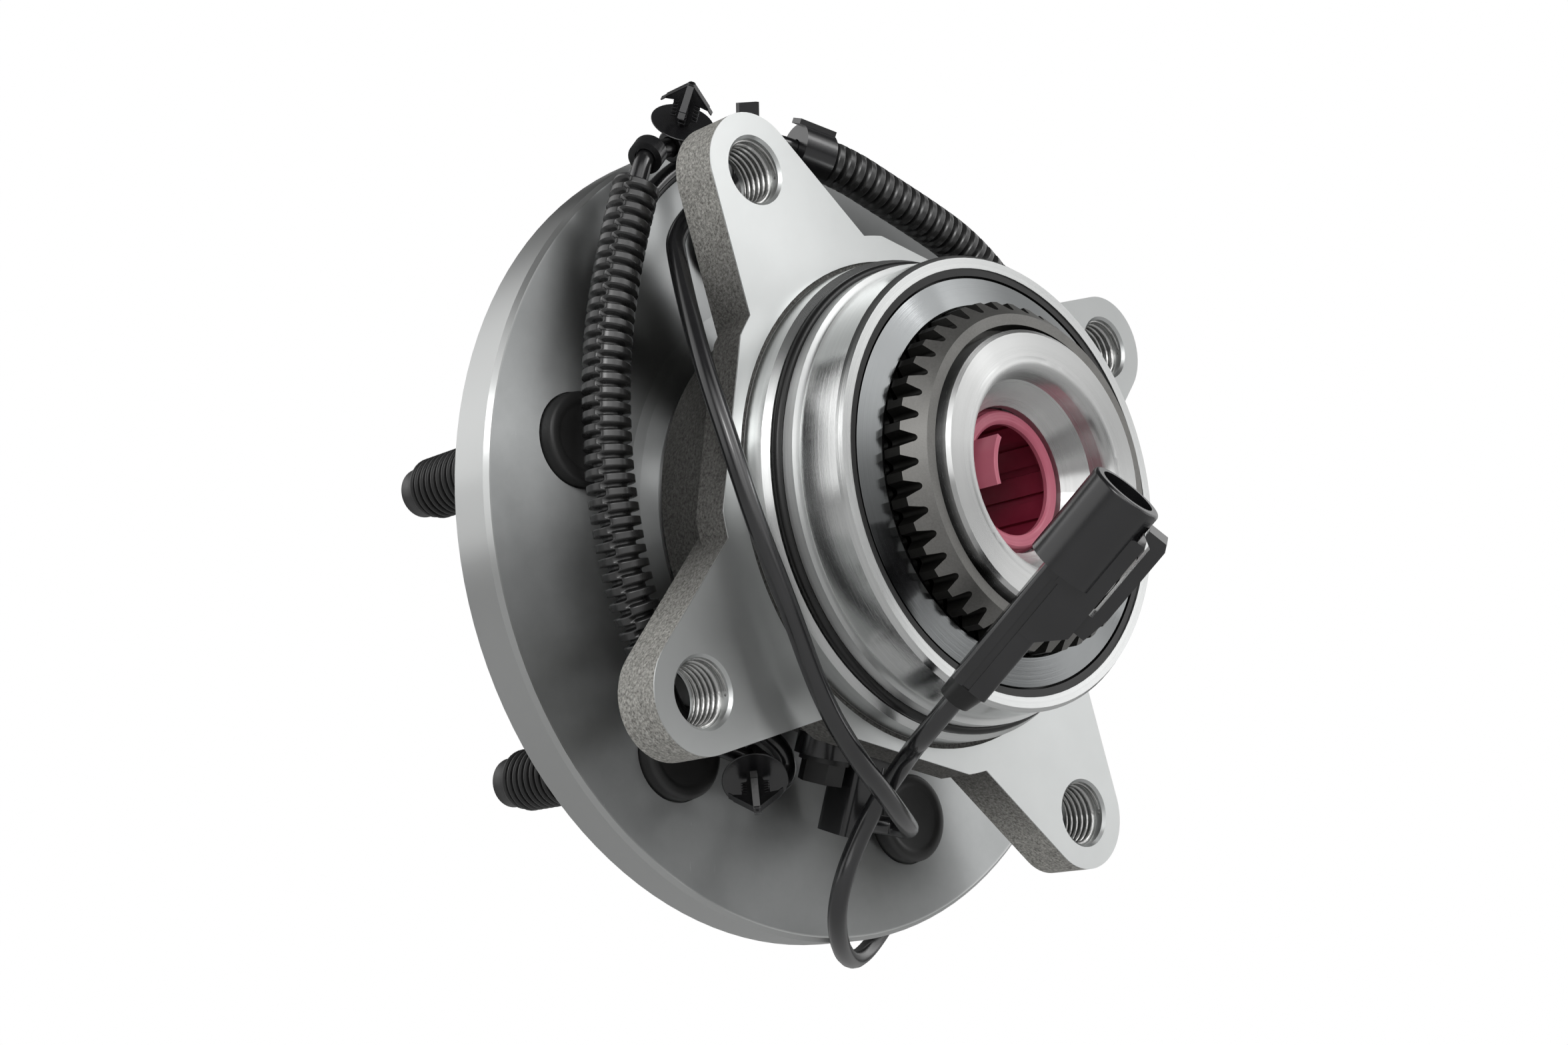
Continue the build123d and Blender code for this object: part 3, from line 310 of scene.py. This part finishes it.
def turned(name, profile, body, centre=(0.0, 0.0), around=96, closed=True):
    """Solid of revolution about a line along Y; profile is (radius, y) in millimetres."""
    verts, faces = [], []
    for r, y in profile:
        for k in range(around):
            angle = tau * k / around
            verts.append(Vector((centre[0] + r * cos(angle), y, centre[1] + r * sin(angle))) * MM)
    rows = len(profile)
    last = rows if closed else rows - 1
    for i in range(last):
        j = (i + 1) % rows
        for k in range(around):
            n = (k + 1) % around
            faces.append((i * around + k, i * around + n, j * around + n, j * around + k))
    return mesh_object(name, verts, faces, body)


# ---------------------------------------------------------------- material helpers
def new_material(name, color, metallic, roughness, **sockets):
    """Material, its node tree and its shader; sockets are constant inputs of the shader."""
    material = bpy.data.materials.new(name)
    material.use_nodes = True
    tree = material.node_tree
    shader = tree.nodes["Principled BSDF"]
    shader.inputs["Base Color"].default_value = (*color, 1.0)
    shader.inputs["Metallic"].default_value = metallic
    shader.inputs["Roughness"].default_value = roughness
    for key, value in sockets.items():
        shader.inputs[key.replace("_", " ")].default_value = value
    return material, tree, shader


def node(tree, kind, inputs=None, **settings):
    """New node; an input is either a socket to link or a constant."""
    made = tree.nodes.new(kind)
    for key, value in settings.items():
        setattr(made, key, value)
    for key, value in (inputs or {}).items():
        if isinstance(value, bpy.types.NodeSocket):
            tree.links.new(value, made.inputs[key])
        else:
            made.inputs[key].default_value = value
    return made


def place(tree):
    """Position of the surface in the shared frame, in millimetres."""
    metres = node(tree, "ShaderNodeTexCoord").outputs["Object"]
    scaled = node(tree, "ShaderNodeVectorMath", {0: metres, "Scale": 1 / MM}, operation="SCALE")
    return scaled.outputs["Vector"]


def math_node(tree, operation, a, b=0.0, c=0.0, clamp=False):
    made = node(tree, "ShaderNodeMath", {0: a, 1: b, 2: c}, operation=operation)
    made.use_clamp = clamp
    return made.outputs[0]


def split(tree, vector):
    made = node(tree, "ShaderNodeSeparateXYZ", {0: vector})
    return made.outputs[0], made.outputs[1], made.outputs[2]


def radius_of(tree, x, z):
    total = math_node(tree, "ADD", math_node(tree, "MULTIPLY", x, x), math_node(tree, "MULTIPLY", z, z))
    return math_node(tree, "SQRT", total)


def vector_of(tree, x, y, z=0.0):
    return node(tree, "ShaderNodeCombineXYZ", {0: x, 1: y, 2: z}).outputs[0]


def noise(tree, vector, scale, detail=3.0, roughness=0.5):
    inputs = {"Vector": vector, "Scale": scale, "Detail": detail, "Roughness": roughness}
    return node(tree, "ShaderNodeTexNoise", inputs).outputs["Fac"]


def ramp(tree, value, stops):
    """stops is a list of (position, grey)."""
    made = node(tree, "ShaderNodeValToRGB", {0: value})
    elements = made.color_ramp.elements
    while len(elements) < len(stops):
        elements.new(0.5)
    for element, (position, grey) in zip(elements, stops):
        element.position = position
        element.color = (grey, grey, grey, 1.0)
    return made.outputs["Color"]


def steps(tree, value, edge, width):
    """0 below edge, 1 above it, across width."""
    inputs = {0: value, 1: edge - width / 2, 2: edge + width / 2, 3: 0.0, 4: 1.0}
    return node(tree, "ShaderNodeMapRange", inputs).outputs[0]


def mix_value(tree, share, a, b):
    made = node(tree, "ShaderNodeMix", {0: share, 2: a, 3: b}, data_type="FLOAT")
    return made.outputs[0]


def mix_color(tree, share, a, b, blend="MIX"):
    made = node(tree, "ShaderNodeMix", data_type="RGBA", blend_type=blend)
    for key, value in ((0, share), (6, a), (7, b)):
        if isinstance(value, bpy.types.NodeSocket):
            tree.links.new(value, made.inputs[key])
        elif isinstance(value, tuple):
            made.inputs[key].default_value = (*value, 1.0)
        else:
            made.inputs[key].default_value = value
    return made.outputs[2]


def bump(tree, shader, height, strength, distance):
    """Relief of the surface; distance is in millimetres."""
    made = node(tree, "ShaderNodeBump", {"Height": height, "Strength": strength, "Distance": distance * MM})
    tree.links.new(made.outputs[0], shader.inputs["Normal"])


def turned_grain(tree, shader, amount):
    """Lathe grooves run round the spin axis, so highlights spread across them."""
    tangent = node(tree, "ShaderNodeTangent", direction_type="RADIAL", axis="Y")
    tree.links.new(tangent.outputs[0], shader.inputs["Tangent"])
    shader.inputs["Anisotropic"].default_value = amount
    shader.inputs["Anisotropic Rotation"].default_value = 0.25


def give(obj, material):
    obj.data.materials.clear()
    obj.data.materials.append(material)


# ---------------------------------------------------------------- materials
# where each finish starts on the outer ring and on the hub, in millimetres
FACE_Y = -0.2              # faces of the ears and the web
CAST_Y = 0.25              # forged skin behind them
CAST_R = 47.0
HOLE_WALL_R = 7.9          # the ear holes are machined up to here
BARREL_L = 24.0
FLANGE_Y = 31.0
FLANGE_R = 46.0
RIM_R = 89.3
MOUTH_Y = -21.5            # pale mouth of the spline protector
MOUTH_RINGS = 0.7
# share of the barrel's length from its inboard end, roughness
BARREL_ROUGHNESS = [
    (0.0, 0.24), (0.05, 0.24), (0.07, 0.10), (0.49, 0.13),
    (0.52, 0.42), (0.64, 0.42), (0.7, 0.26), (1.0, 0.24),
]


def lathe_marks(tree, at, fine=9.0):
    """Grey noise that runs in rings about the spin axis."""
    x, y, z = split(tree, at)
    rings = vector_of(tree, radius_of(tree, x, z), y)
    return noise(tree, rings, fine, 4.0, 0.7)


def make_turned_steel(name, color, roughness, spread=0.1, fine=6.0, depth=0.02):
    """Steel with rings from the lathe and a faint cloud in its tone."""
    material, tree, shader = new_material(name, color, 1.0, roughness)
    at = place(tree)
    marks = lathe_marks(tree, at, fine)
    cloud = noise(tree, at, 0.06, 4.0)
    tint = mix_color(tree, cloud, tuple(0.82 * c for c in color), tuple(min(1.0, 1.15 * c) for c in color))
    tree.links.new(tint, shader.inputs["Base Color"])
    wave = math_node(tree, "MULTIPLY_ADD", marks, spread * 2, roughness - spread)
    tree.links.new(wave, shader.inputs["Roughness"])
    bump(tree, shader, marks, 0.35, depth)
    turned_grain(tree, shader, 0.8)
    return material


def cast_share(tree, x, y, z, radius):
    """1 on the forged skin behind the web, 0 on machined surfaces and in the ear holes."""
    cast = math_node(tree, "MULTIPLY", steps(tree, y, CAST_Y, 0.1), steps(tree, radius, CAST_R, 0.5))
    for centre_x, centre_z in EAR_CENTRES:
        from_x = math_node(tree, "SUBTRACT", x, centre_x)
        from_z = math_node(tree, "SUBTRACT", z, centre_z)
        beyond = steps(tree, radius_of(tree, from_x, from_z), HOLE_WALL_R, 0.3)
        cast = math_node(tree, "MULTIPLY", cast, beyond)
    return cast


def skin_and_painted_shade(tree, grain, radius):
    """Grey speckle of the forged skin, with painted shade that darkens it towards the root of the casting.
    """
    speckle = ramp(tree, grain, [(0.34, 0.0), (0.66, 1.0)])
    skin = mix_color(tree, speckle, (0.17, 0.165, 0.148), (0.74, 0.73, 0.69))
    # painted shade: the skin is multiplied darker at small radius, where the casting meets the web
    reach = math_node(tree, "DIVIDE", radius, 100.0)
    shade = ramp(tree, reach, [(0.58, 0.30), (0.64, 0.5), (0.78, 1.0)])
    return mix_color(tree, 1.0, skin, shade, "MULTIPLY")


def make_outer_ring():
    """Machined in front of the ear faces and on the barrel, rough forged skin behind them."""
    material, tree, shader = new_material("knuckle_ring", (0.5, 0.5, 0.5), 1.0, 0.4)
    at = place(tree)
    x, y, z = split(tree, at)
    radius = radius_of(tree, x, z)
    cast = cast_share(tree, x, y, z, radius)
    face = math_node(tree, "MULTIPLY", steps(tree, y, FACE_Y, 0.1), math_node(tree, "SUBTRACT", 1.0, cast))
    rings = vector_of(tree, radius, y)
    marks = noise(tree, rings, 7.0, 4.0, 0.7)
    stripes = noise(tree, rings, 1.6, 2.0, 0.6)
    cloud = noise(tree, at, 0.05, 5.0, 0.6)
    grain = noise(tree, at, 1.7, 6.0, 0.7)
    pits = noise(tree, at, 3.2, 3.0, 0.6)
    steel = mix_color(tree, stripes, (0.66, 0.67, 0.67), (0.84, 0.85, 0.84))
    flat = mix_color(tree, cloud, (0.60, 0.615, 0.61), (0.70, 0.715, 0.71))
    metal = mix_color(tree, face, steel, flat)
    # the forged skin here carries painted shade, darker towards its root
    color = mix_color(tree, cast, metal, skin_and_painted_shade(tree, grain, radius))
    tree.links.new(color, shader.inputs["Base Color"])
    along = math_node(tree, "DIVIDE", math_node(tree, "ADD", y, BARREL_L), BARREL_L, clamp=True)
    rough = mix_value(tree, face, ramp(tree, along, BARREL_ROUGHNESS), mix_value(tree, marks, 0.27, 0.38))
    rough = mix_value(tree, cast, rough, mix_value(tree, grain, 0.55, 0.8))
    tree.links.new(rough, shader.inputs["Roughness"])
    tree.links.new(mix_value(tree, cast, 1.0, 0.35), shader.inputs["Metallic"])
    rough_skin = math_node(tree, "MULTIPLY_ADD", pits, 0.5, grain)
    height = mix_value(tree, cast, math_node(tree, "MULTIPLY", marks, 0.04), rough_skin)
    bump(tree, shader, height, 0.8, 0.45)
    turned_grain(tree, shader, 0.75)
    return material


def make_hub():
    """Bright nose, dull dished flange, turned pilot and rim."""
    material, tree, shader = new_material("flange_hub", (0.5, 0.5, 0.5), 1.0, 0.35)
    at = place(tree)
    x, y, z = split(tree, at)
    radius = radius_of(tree, x, z)
    rings = vector_of(tree, radius, y)
    marks = noise(tree, rings, 7.0, 4.0, 0.7)
    stripes = noise(tree, rings, 0.9, 3.0, 0.6)
    cloud = noise(tree, at, 0.045, 6.0, 0.65)
    back = math_node(tree, "MULTIPLY", steps(tree, y, FLANGE_Y, 0.5), steps(tree, radius, FLANGE_R, 1.0))
    rim = steps(tree, radius, RIM_R, 0.4)
    nose = mix_color(tree, stripes, (0.60, 0.605, 0.60), (0.76, 0.765, 0.76))
    stretch = vector_of(tree, math_node(tree, "MULTIPLY", x, 2.2), math_node(tree, "MULTIPLY", z, 0.25))
    scratch = noise(tree, stretch, 0.5, 8.0, 0.7)
    dull = mix_color(tree, cloud, (0.36, 0.37, 0.37), (0.60, 0.615, 0.615))
    dull = mix_color(tree, ramp(tree, scratch, [(0.67, 0.0), (0.7, 0.3)]), dull, (0.85, 0.86, 0.86))
    dull = mix_color(tree, rim, dull, (0.60, 0.61, 0.605))
    tree.links.new(mix_color(tree, back, nose, dull), shader.inputs["Base Color"])
    rough_back = mix_value(tree, rim, mix_value(tree, cloud, 0.36, 0.46), 0.3)
    rough = mix_value(tree, back, mix_value(tree, marks, 0.2, 0.32), rough_back)
    tree.links.new(rough, shader.inputs["Roughness"])
    height = math_node(tree, "MULTIPLY_ADD", scratch, 0.3, marks)
    bump(tree, shader, height, 0.3, 0.015)
    turned_grain(tree, shader, 1.0)
    return material


def make_gear():
    """Dark forged steel; every surface that does not face inboard, the tooth flanks and crests, is painted
    near black as shade between the teeth.
    """
    material, tree, shader = new_material("engagement_ring", (0.3, 0.29, 0.27), 0.9, 0.5)
    at = place(tree)
    grain = noise(tree, at, 2.4, 6.0, 0.75)
    cloud = noise(tree, at, 0.15, 3.0)
    dark = mix_color(tree, grain, (0.09, 0.088, 0.083), (0.30, 0.296, 0.284))
    color = mix_color(tree, math_node(tree, "MULTIPLY", cloud, 0.4), dark, (0.36, 0.355, 0.34))
    # painted shade: the tooth flanks and crests, which do not face inboard, get the near-black colour below
    facing = split(tree, node(tree, "ShaderNodeNewGeometry").outputs["Normal"])[1]
    unshaded_face = math_node(tree, "SUBTRACT", 1.0, steps(tree, facing, -0.45, 0.2))
    color = mix_color(tree, unshaded_face, (0.030, 0.029, 0.027), color)
    tree.links.new(color, shader.inputs["Base Color"])
    tree.links.new(mix_value(tree, grain, 0.32, 0.6), shader.inputs["Roughness"])
    bump(tree, shader, grain, 0.3, 0.08)
    return material


def make_black(name, color, roughness, grain_scale=2.0, depth=0.03, **sockets):
    """Rubber, moulded plastic or blackened steel, uneven in tone and gloss."""
    material, tree, shader = new_material(name, color, 0.0, roughness, **sockets)
    at = place(tree)
    grain = noise(tree, at, grain_scale, 4.0, 0.6)
    cloud = noise(tree, at, 0.12, 3.0)
    tint = mix_color(tree, cloud, tuple(0.7 * c for c in color), tuple(1.6 * c + 0.004 for c in color))
    tree.links.new(tint, shader.inputs["Base Color"])
    rough = mix_value(tree, cloud, roughness * 0.8, min(1.0, roughness * 1.25))
    tree.links.new(rough, shader.inputs["Roughness"])
    bump(tree, shader, grain, 0.3, depth)
    return material


def make_guard():
    """Glossy crimson, paler towards its mouth, with fine rings moulded round its mouth."""
    material, tree, shader = new_material(
        "crimson_plastic", (0.45, 0.035, 0.09), 0.0, 0.30, Transmission_Weight=0.2, IOR=1.49
    )
    at = place(tree)
    x, y, z = split(tree, at)
    radius = radius_of(tree, x, z)
    cloud = noise(tree, at, 0.15, 4.0)
    mouth = math_node(tree, "SUBTRACT", 1.0, steps(tree, y, MOUTH_Y, 2.0))
    deep = mix_color(tree, cloud, (0.24, 0.012, 0.04), (0.46, 0.05, 0.10))
    pale = mix_color(tree, cloud, (0.62, 0.12, 0.20), (0.80, 0.24, 0.32))
    tree.links.new(mix_color(tree, mouth, deep, pale), shader.inputs["Base Color"])
    ridges = math_node(tree, "SINE", math_node(tree, "MULTIPLY", radius, tau / MOUTH_RINGS))
    bump(tree, shader, ridges, 0.35, 0.06)
    return material


MATERIALS = {
    "knuckle_ring": make_outer_ring(),
    "flange_hub": make_hub(),
    "engagement_ring": make_gear(),
    "race": make_turned_steel("race", (0.6, 0.6, 0.59), 0.25),
    "slinger": make_turned_steel("slinger", (0.34, 0.352, 0.356), 0.10, 0.04, 3.0),
    "tone": make_turned_steel("tone", (0.38, 0.38, 0.37), 0.5),
    "ball": make_turned_steel("ball", (0.75, 0.75, 0.75), 0.1, 0.02),
    "pin": make_turned_steel("pin", (0.72, 0.66, 0.5), 0.3),
    "stud": make_black("stud_black", (0.022, 0.022, 0.022), 0.38, 2.5, 0.05),
    "rubber": make_black("seal_rubber", (0.006, 0.006, 0.006), 0.28, 3.0, 0.02),
    "plastic": make_black("black_plastic", (0.009, 0.009, 0.010), 0.21, 1.6, 0.04, Specular_IOR_Level=0.9),
    "loom": make_black("loom_plastic", (0.015, 0.015, 0.015), 0.27, 1.5, 0.02, Specular_IOR_Level=1.0),
    "cable": make_black("cable_jacket", (0.010, 0.010, 0.011), 0.19, 1.2, 0.012, Specular_IOR_Level=1.0),
    "bolt": make_black("bolt_black", (0.02, 0.02, 0.02), 0.36, 2.5, 0.03),
    "cage": make_black("cage_plastic", (0.55, 0.50, 0.38), 0.5, 1.5, 0.02),
    "guard": make_guard(),
}
NODE_FINISH = {
    "outer_ring": "knuckle_ring", "hub": "flange_hub", "toothed_ring": "engagement_ring",
    "inner_ring": "race", "slinger": "slinger", "tone_ring": "tone", "connector_pins": "pin",
    "balls_inboard": "ball", "balls_outboard": "ball", "cage_inboard": "cage", "cage_outboard": "cage",
    "o_ring": "rubber", "seal_inboard": "rubber", "seal_outboard": "rubber", "cable_boot": "rubber",
    "spline_protector": "guard", "sensor_body": "plastic", "sensor_sleeve": "bolt", "sensor_bolt": "bolt",
    "connector_housing": "plastic", "connector_lock": "plastic", "clip_upper": "plastic",
    "clip_lower": "plastic", "clip_tag": "plastic", "cable_sleeve": "plastic", "loom_collar": "plastic",
}


# ---------------------------------------------------------------- push-in clips
def add_ring(verts, faces, profile, basis, around=40):
    """Closed ring of revolution about the basis's first axis; profile is (radius, distance)."""
    origin, axis, first, second = basis
    base = len(verts)
    for r, level in profile:
        for k in range(around):
            angle = tau * k / around
            spread = first * cos(angle) + second * sin(angle)
            verts.append((origin + axis * level + spread * r) * MM)
    rows = len(profile)
    for i in range(rows):
        row = base + i * around
        above = base + (i + 1) % rows * around
        for k in range(around):
            n = (k + 1) % around
            faces.append((row + k, row + n, above + n, above + k))


def add_plate(verts, faces, outline, origin, up, across, thickness):
    """Flat plate whose outline is (distance up, distance across)."""
    normal = up.cross(across).normalized() * (thickness / 2)
    base, count = len(verts), len(outline)
    for offset in (-normal, normal):
        for height, width in outline:
            verts.append((origin + up * height + across * width + offset) * MM)
    faces.append(tuple(base + k for k in range(count))[::-1])
    faces.append(tuple(base + count + k for k in range(count)))
    for k in range(count):
        n = (k + 1) % count
        faces.append((base + k, base + n, base + count + n, base + count + k))


def tree_outline():
    """Half of the ridged stem with its arrow head, as (distance, half width), and its mirror image."""
    half = [(TREE_FOOT, FOOT_WIDTH)]
    pitch = (TREE_HEAD - TREE_FOOT - RIDGE_START) / RIDGE_COUNT
    for k in range(RIDGE_COUNT):
        foot = TREE_FOOT + RIDGE_START + pitch * k
        half += [
            (foot, STEM_WIDTH), (foot + 0.15, RIDGE_WIDTH),
            (foot + 0.45, RIDGE_WIDTH), (foot + 0.7, STEM_WIDTH),
        ]
    half += [
        (TREE_HEAD, STEM_WIDTH), (TREE_HEAD - 0.5, TREE_WIDTH - 0.2),
        (TREE_HEAD, TREE_WIDTH), (TREE_TIP, 0.4),
    ]
    return half + [(height, -width) for height, width in reversed(half)]


def barb_outline(way):
    """Barb of the arrow head, on one side of the stem or the other."""
    barb = [
        (TREE_TIP, 0.3), (TREE_HEAD - 1.2, TREE_WIDTH + 0.9), (TREE_HEAD - 1.3, TREE_WIDTH + 0.6),
        (TREE_TIP - 0.5, 0.3),
    ]
    return [(height, way * width) for height, width in barb]


def clip_profiles():
    """Collar round the cable, neck and dished disc, in radius and distance along their axes."""
    inner, outer, half = CABLE_R + CLIP_GAP, CABLE_R + CLIP_GAP + CLIP_WALL, CLIP_LENGTH / 2
    collar = [
        (inner, -half), (outer - COLLAR_EDGE, -half), (outer, COLLAR_EDGE - half),
        (outer, half - COLLAR_EDGE), (outer - COLLAR_EDGE, half), (inner, half),
    ]
    neck_from, neck_to = inner + NECK_BITE, DISC_AT + 0.4
    neck = [(AXIS_R, neck_from), (NECK_R, neck_from), (NECK_R, neck_to), (AXIS_R, neck_to)]
    disc = [
        (AXIS_R, DISC_AT), (DISC_FLAT_R, DISC_AT), (DISC_R - 0.9, DISC_AT + 0.45), (DISC_R, DISC_AT + 1.0),
        (DISC_R - 0.2, DISC_AT + 1.2), (DISC_FLAT_R, DISC_AT + 0.8), (AXIS_R, DISC_AT + 0.8),
    ]
    return collar, neck, disc


def add_clip(name, points, run, direction, replaced):
    """Collar on the cable, dished cover disc and an arrow of two crossed plates."""
    start, end = Vector(points[run]), Vector(points[run + 1])
    at, along = (start + end) / 2, (end - start).normalized()
    out = (direction - along * direction.dot(along)).normalized()
    face = (CLIP_FACING - out * CLIP_FACING.dot(out)).normalized()
    side = out.cross(face)
    collar, neck, disc = clip_profiles()
    verts, faces = [], []
    add_ring(verts, faces, collar, (at, along, out, along.cross(out)))
    add_ring(verts, faces, neck, (at, out, side, face))
    add_ring(verts, faces, disc, (at, out, side, face))
    for across in (side, face):
        add_plate(verts, faces, tree_outline(), at, out, across, TREE_PLATE)
        for way in (1, -1):
            add_plate(verts, faces, barb_outline(way), at, out, across, TREE_PLATE)
    obj = mesh_object(name, verts, faces, "housing", smooth=False)
    bound_edges(obj, 0.12, 1, 30)
    give(obj, MATERIALS["plastic"])
    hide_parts(replaced)
    return obj


# ---------------------------------------------------------------- lead
LEAD_PIECES = [
    "connector_housing", "connector_lock", "connector_pins", "cable_boot", "clip_tag", "cable_sleeve",
    "loom_collar",
]


def loom(name, points, replaced, seam):
    """Split corrugated tube: the ribs of one half stand between those of the other."""
    pitch, crest, groove = LOOM_PITCH * MM, LOOM_R * MM, LOOM_GROOVE_R * MM

    def radius(distance, angle):
        turn = (angle - seam) % tau
        half = 0.5 if turn < pi else 0.0
        phase = (distance / pitch + half) % 1.0
        rise = (LOOM_RIB - abs(phase - 0.5)) / LOOM_FLANK
        rib = min(1.0, max(0.0, 0.5 + rise))
        return groove + (crest - groove) * rib

    obj = swept(name, line_points(points), pitch / LOOM_ROWS, LOOM_AROUND, radius, "housing")
    give(obj, MATERIALS["loom"])
    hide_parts(replaced)
    return obj


def add_lead():
    """One cord from the sensor to the connector, with the looms, clips and fittings on it."""
    points = CABLE_SENSOR + LOOM_LEFT[1:] + CABLE_LINK[1:] + LOOM_RIGHT[1:] + CABLE_PLUG[1:]
    cable = route_curve("lead", points, CABLE_R)
    give(cable, MATERIALS["cable"])
    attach(cable, "housing")
    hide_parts("cable_sensor", "cable_link", "cable_plug")
    carried = [
        loom("loom_tube_left", LOOM_LEFT, "loom_left", LEFT_SEAM),
        loom("loom_tube_right", LOOM_RIGHT, "loom_right", RIGHT_SEAM),
        add_clip("clip_tree_upper", CABLE_SENSOR, UPPER_CLIP_RUN, UPPER_CLIP, "clip_upper"),
        add_clip("clip_tree_lower", CABLE_LINK, LOWER_CLIP_RUN, LOWER_CLIP, "clip_lower"),
    ]
    carried += [nodes[name] for name in LEAD_PIECES]


# ---------------------------------------------------------------- threads and studs
def add_ear_threads():
    for k, centre in enumerate(EAR_CENTRES):
        thread = helix(f"ear_thread_{k + 1}", centre, EAR_THREAD, "housing")
        give(thread, MATERIALS["race"])


def add_studs():
    for k, centre in enumerate(STUD_CENTRES):
        core = turned(f"stud_core_{k + 1}", STUD_PROFILE, "hub", centre, 48, closed=False)
        bound_edges(core, 0.15)
        give(core, MATERIALS["stud"])
        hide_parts(f"wheel_stud_{k + 1}")
        thread = helix(f"stud_thread_{k + 1}", centre, STUD_THREAD, "hub")
        give(thread, MATERIALS["stud"])


# ---------------------------------------------------------------- studio
FLOOR_Z = -0.22            # metres; the camera is lower than the part, so the floor lies under the camera
FLOOR_HALF = 4.0
FLOOR_GREY = 0.8
FLOOR_GLOSS_GREY = 0.70    # as glossy rays see it
WORLD_BASE = 0.07
SOFT_BOXES = (
    # axis, inner and outer angle in degrees, brightness
    ((0.34, -0.69, 0.64), 10, 27, 1.00),
    ((0.66, -0.71, 0.25), 8, 24, 0.30),
    ((-0.05, -0.92, 0.38), 10, 30, 1.00),
    ((0.80, -0.59, -0.10), 10, 26, 0.80),
    ((-0.66, -0.70, 0.30), 12, 36, 1.30),
    ((-0.70, 0.65, 0.25), 26, 50, 0.85),
    ((0.95, 0.10, 0.35), 12, 30, 0.80),
)
LAMPS = (
    # name, place in metres, size in metres, watts
    ("key", (0.40, -0.82, 0.78), 0.30, 0.8),
    ("left", (-0.85, -0.75, 0.45), 0.25, 1.3),
    ("right", (1.1, -0.6, 0.5), 0.80, 1.0),
    ("back", (-0.4, 1.0, 0.7), 1.00, 1.4),
)


def toward(tree, direction, axis, inner, outer):
    """1 where the direction lies within inner degrees of the axis, 0 beyond outer degrees."""
    towards = {0: direction, 1: Vector(axis).normalized()}
    dot = node(tree, "ShaderNodeVectorMath", towards, operation="DOT_PRODUCT")
    edges = {0: dot.outputs["Value"], 1: cos(radians(outer)), 2: cos(radians(inner)), 3: 0.0, 4: 1.0}
    return node(tree, "ShaderNodeMapRange", edges, interpolation_type="SMOOTHSTEP").outputs[0]


def add_world():
    """White to the camera; to everything else a dim room with soft boxes."""
    world = bpy.data.worlds.new("studio")
    bpy.context.scene.world = world
    world.use_nodes = True
    tree = world.node_tree
    background = tree.nodes["Background"]
    direction = node(tree, "ShaderNodeTexCoord").outputs["Generated"]
    total = WORLD_BASE
    for axis, inner, outer, brightness in SOFT_BOXES:
        box = toward(tree, direction, axis, inner, outer)
        total = math_node(tree, "MULTIPLY_ADD", box, brightness, total)
    camera_ray = node(tree, "ShaderNodeLightPath").outputs["Is Camera Ray"]
    color = mix_color(tree, camera_ray, vector_of(tree, total, total, total), (1.0, 1.0, 1.0))
    tree.links.new(color, background.inputs["Color"])
    background.inputs["Strength"].default_value = 1.0


def add_floor():
    corners = [(x * FLOOR_HALF, y * FLOOR_HALF, FLOOR_Z) for x, y in ((-1, -1), (1, -1), (1, 1), (-1, 1))]
    mesh = bpy.data.meshes.new("floor")
    mesh.from_pydata(corners, [], [(0, 1, 2, 3)])
    floor = link(bpy.data.objects.new("floor", mesh))
    material, tree, shader = new_material("floor", (FLOOR_GREY,) * 3, 0.0, 0.9)
    glossy_ray = node(tree, "ShaderNodeLightPath").outputs["Is Glossy Ray"]
    shade = mix_color(tree, glossy_ray, (FLOOR_GREY,) * 3, (FLOOR_GLOSS_GREY,) * 3)
    tree.links.new(shade, shader.inputs["Base Color"])
    give(floor, material)


def add_lamps():
    for name, at, size, power in LAMPS:
        data = bpy.data.lights.new(name, "AREA")
        data.size = size
        data.energy = power
        lamp = link(bpy.data.objects.new(name, data))
        lamp.location = at
        lamp.rotation_euler = (-Vector(at)).to_track_quat("-Z", "Y").to_euler()


# ---------------------------------------------------------------- build
add_camera()
for node_name, finish in NODE_FINISH.items():
    give(nodes[node_name], MATERIALS[finish])
add_lead()
add_ear_threads()
add_studs()
add_floor()
add_world()
add_lamps()
bpy.context.scene.view_settings.view_transform = "Standard"
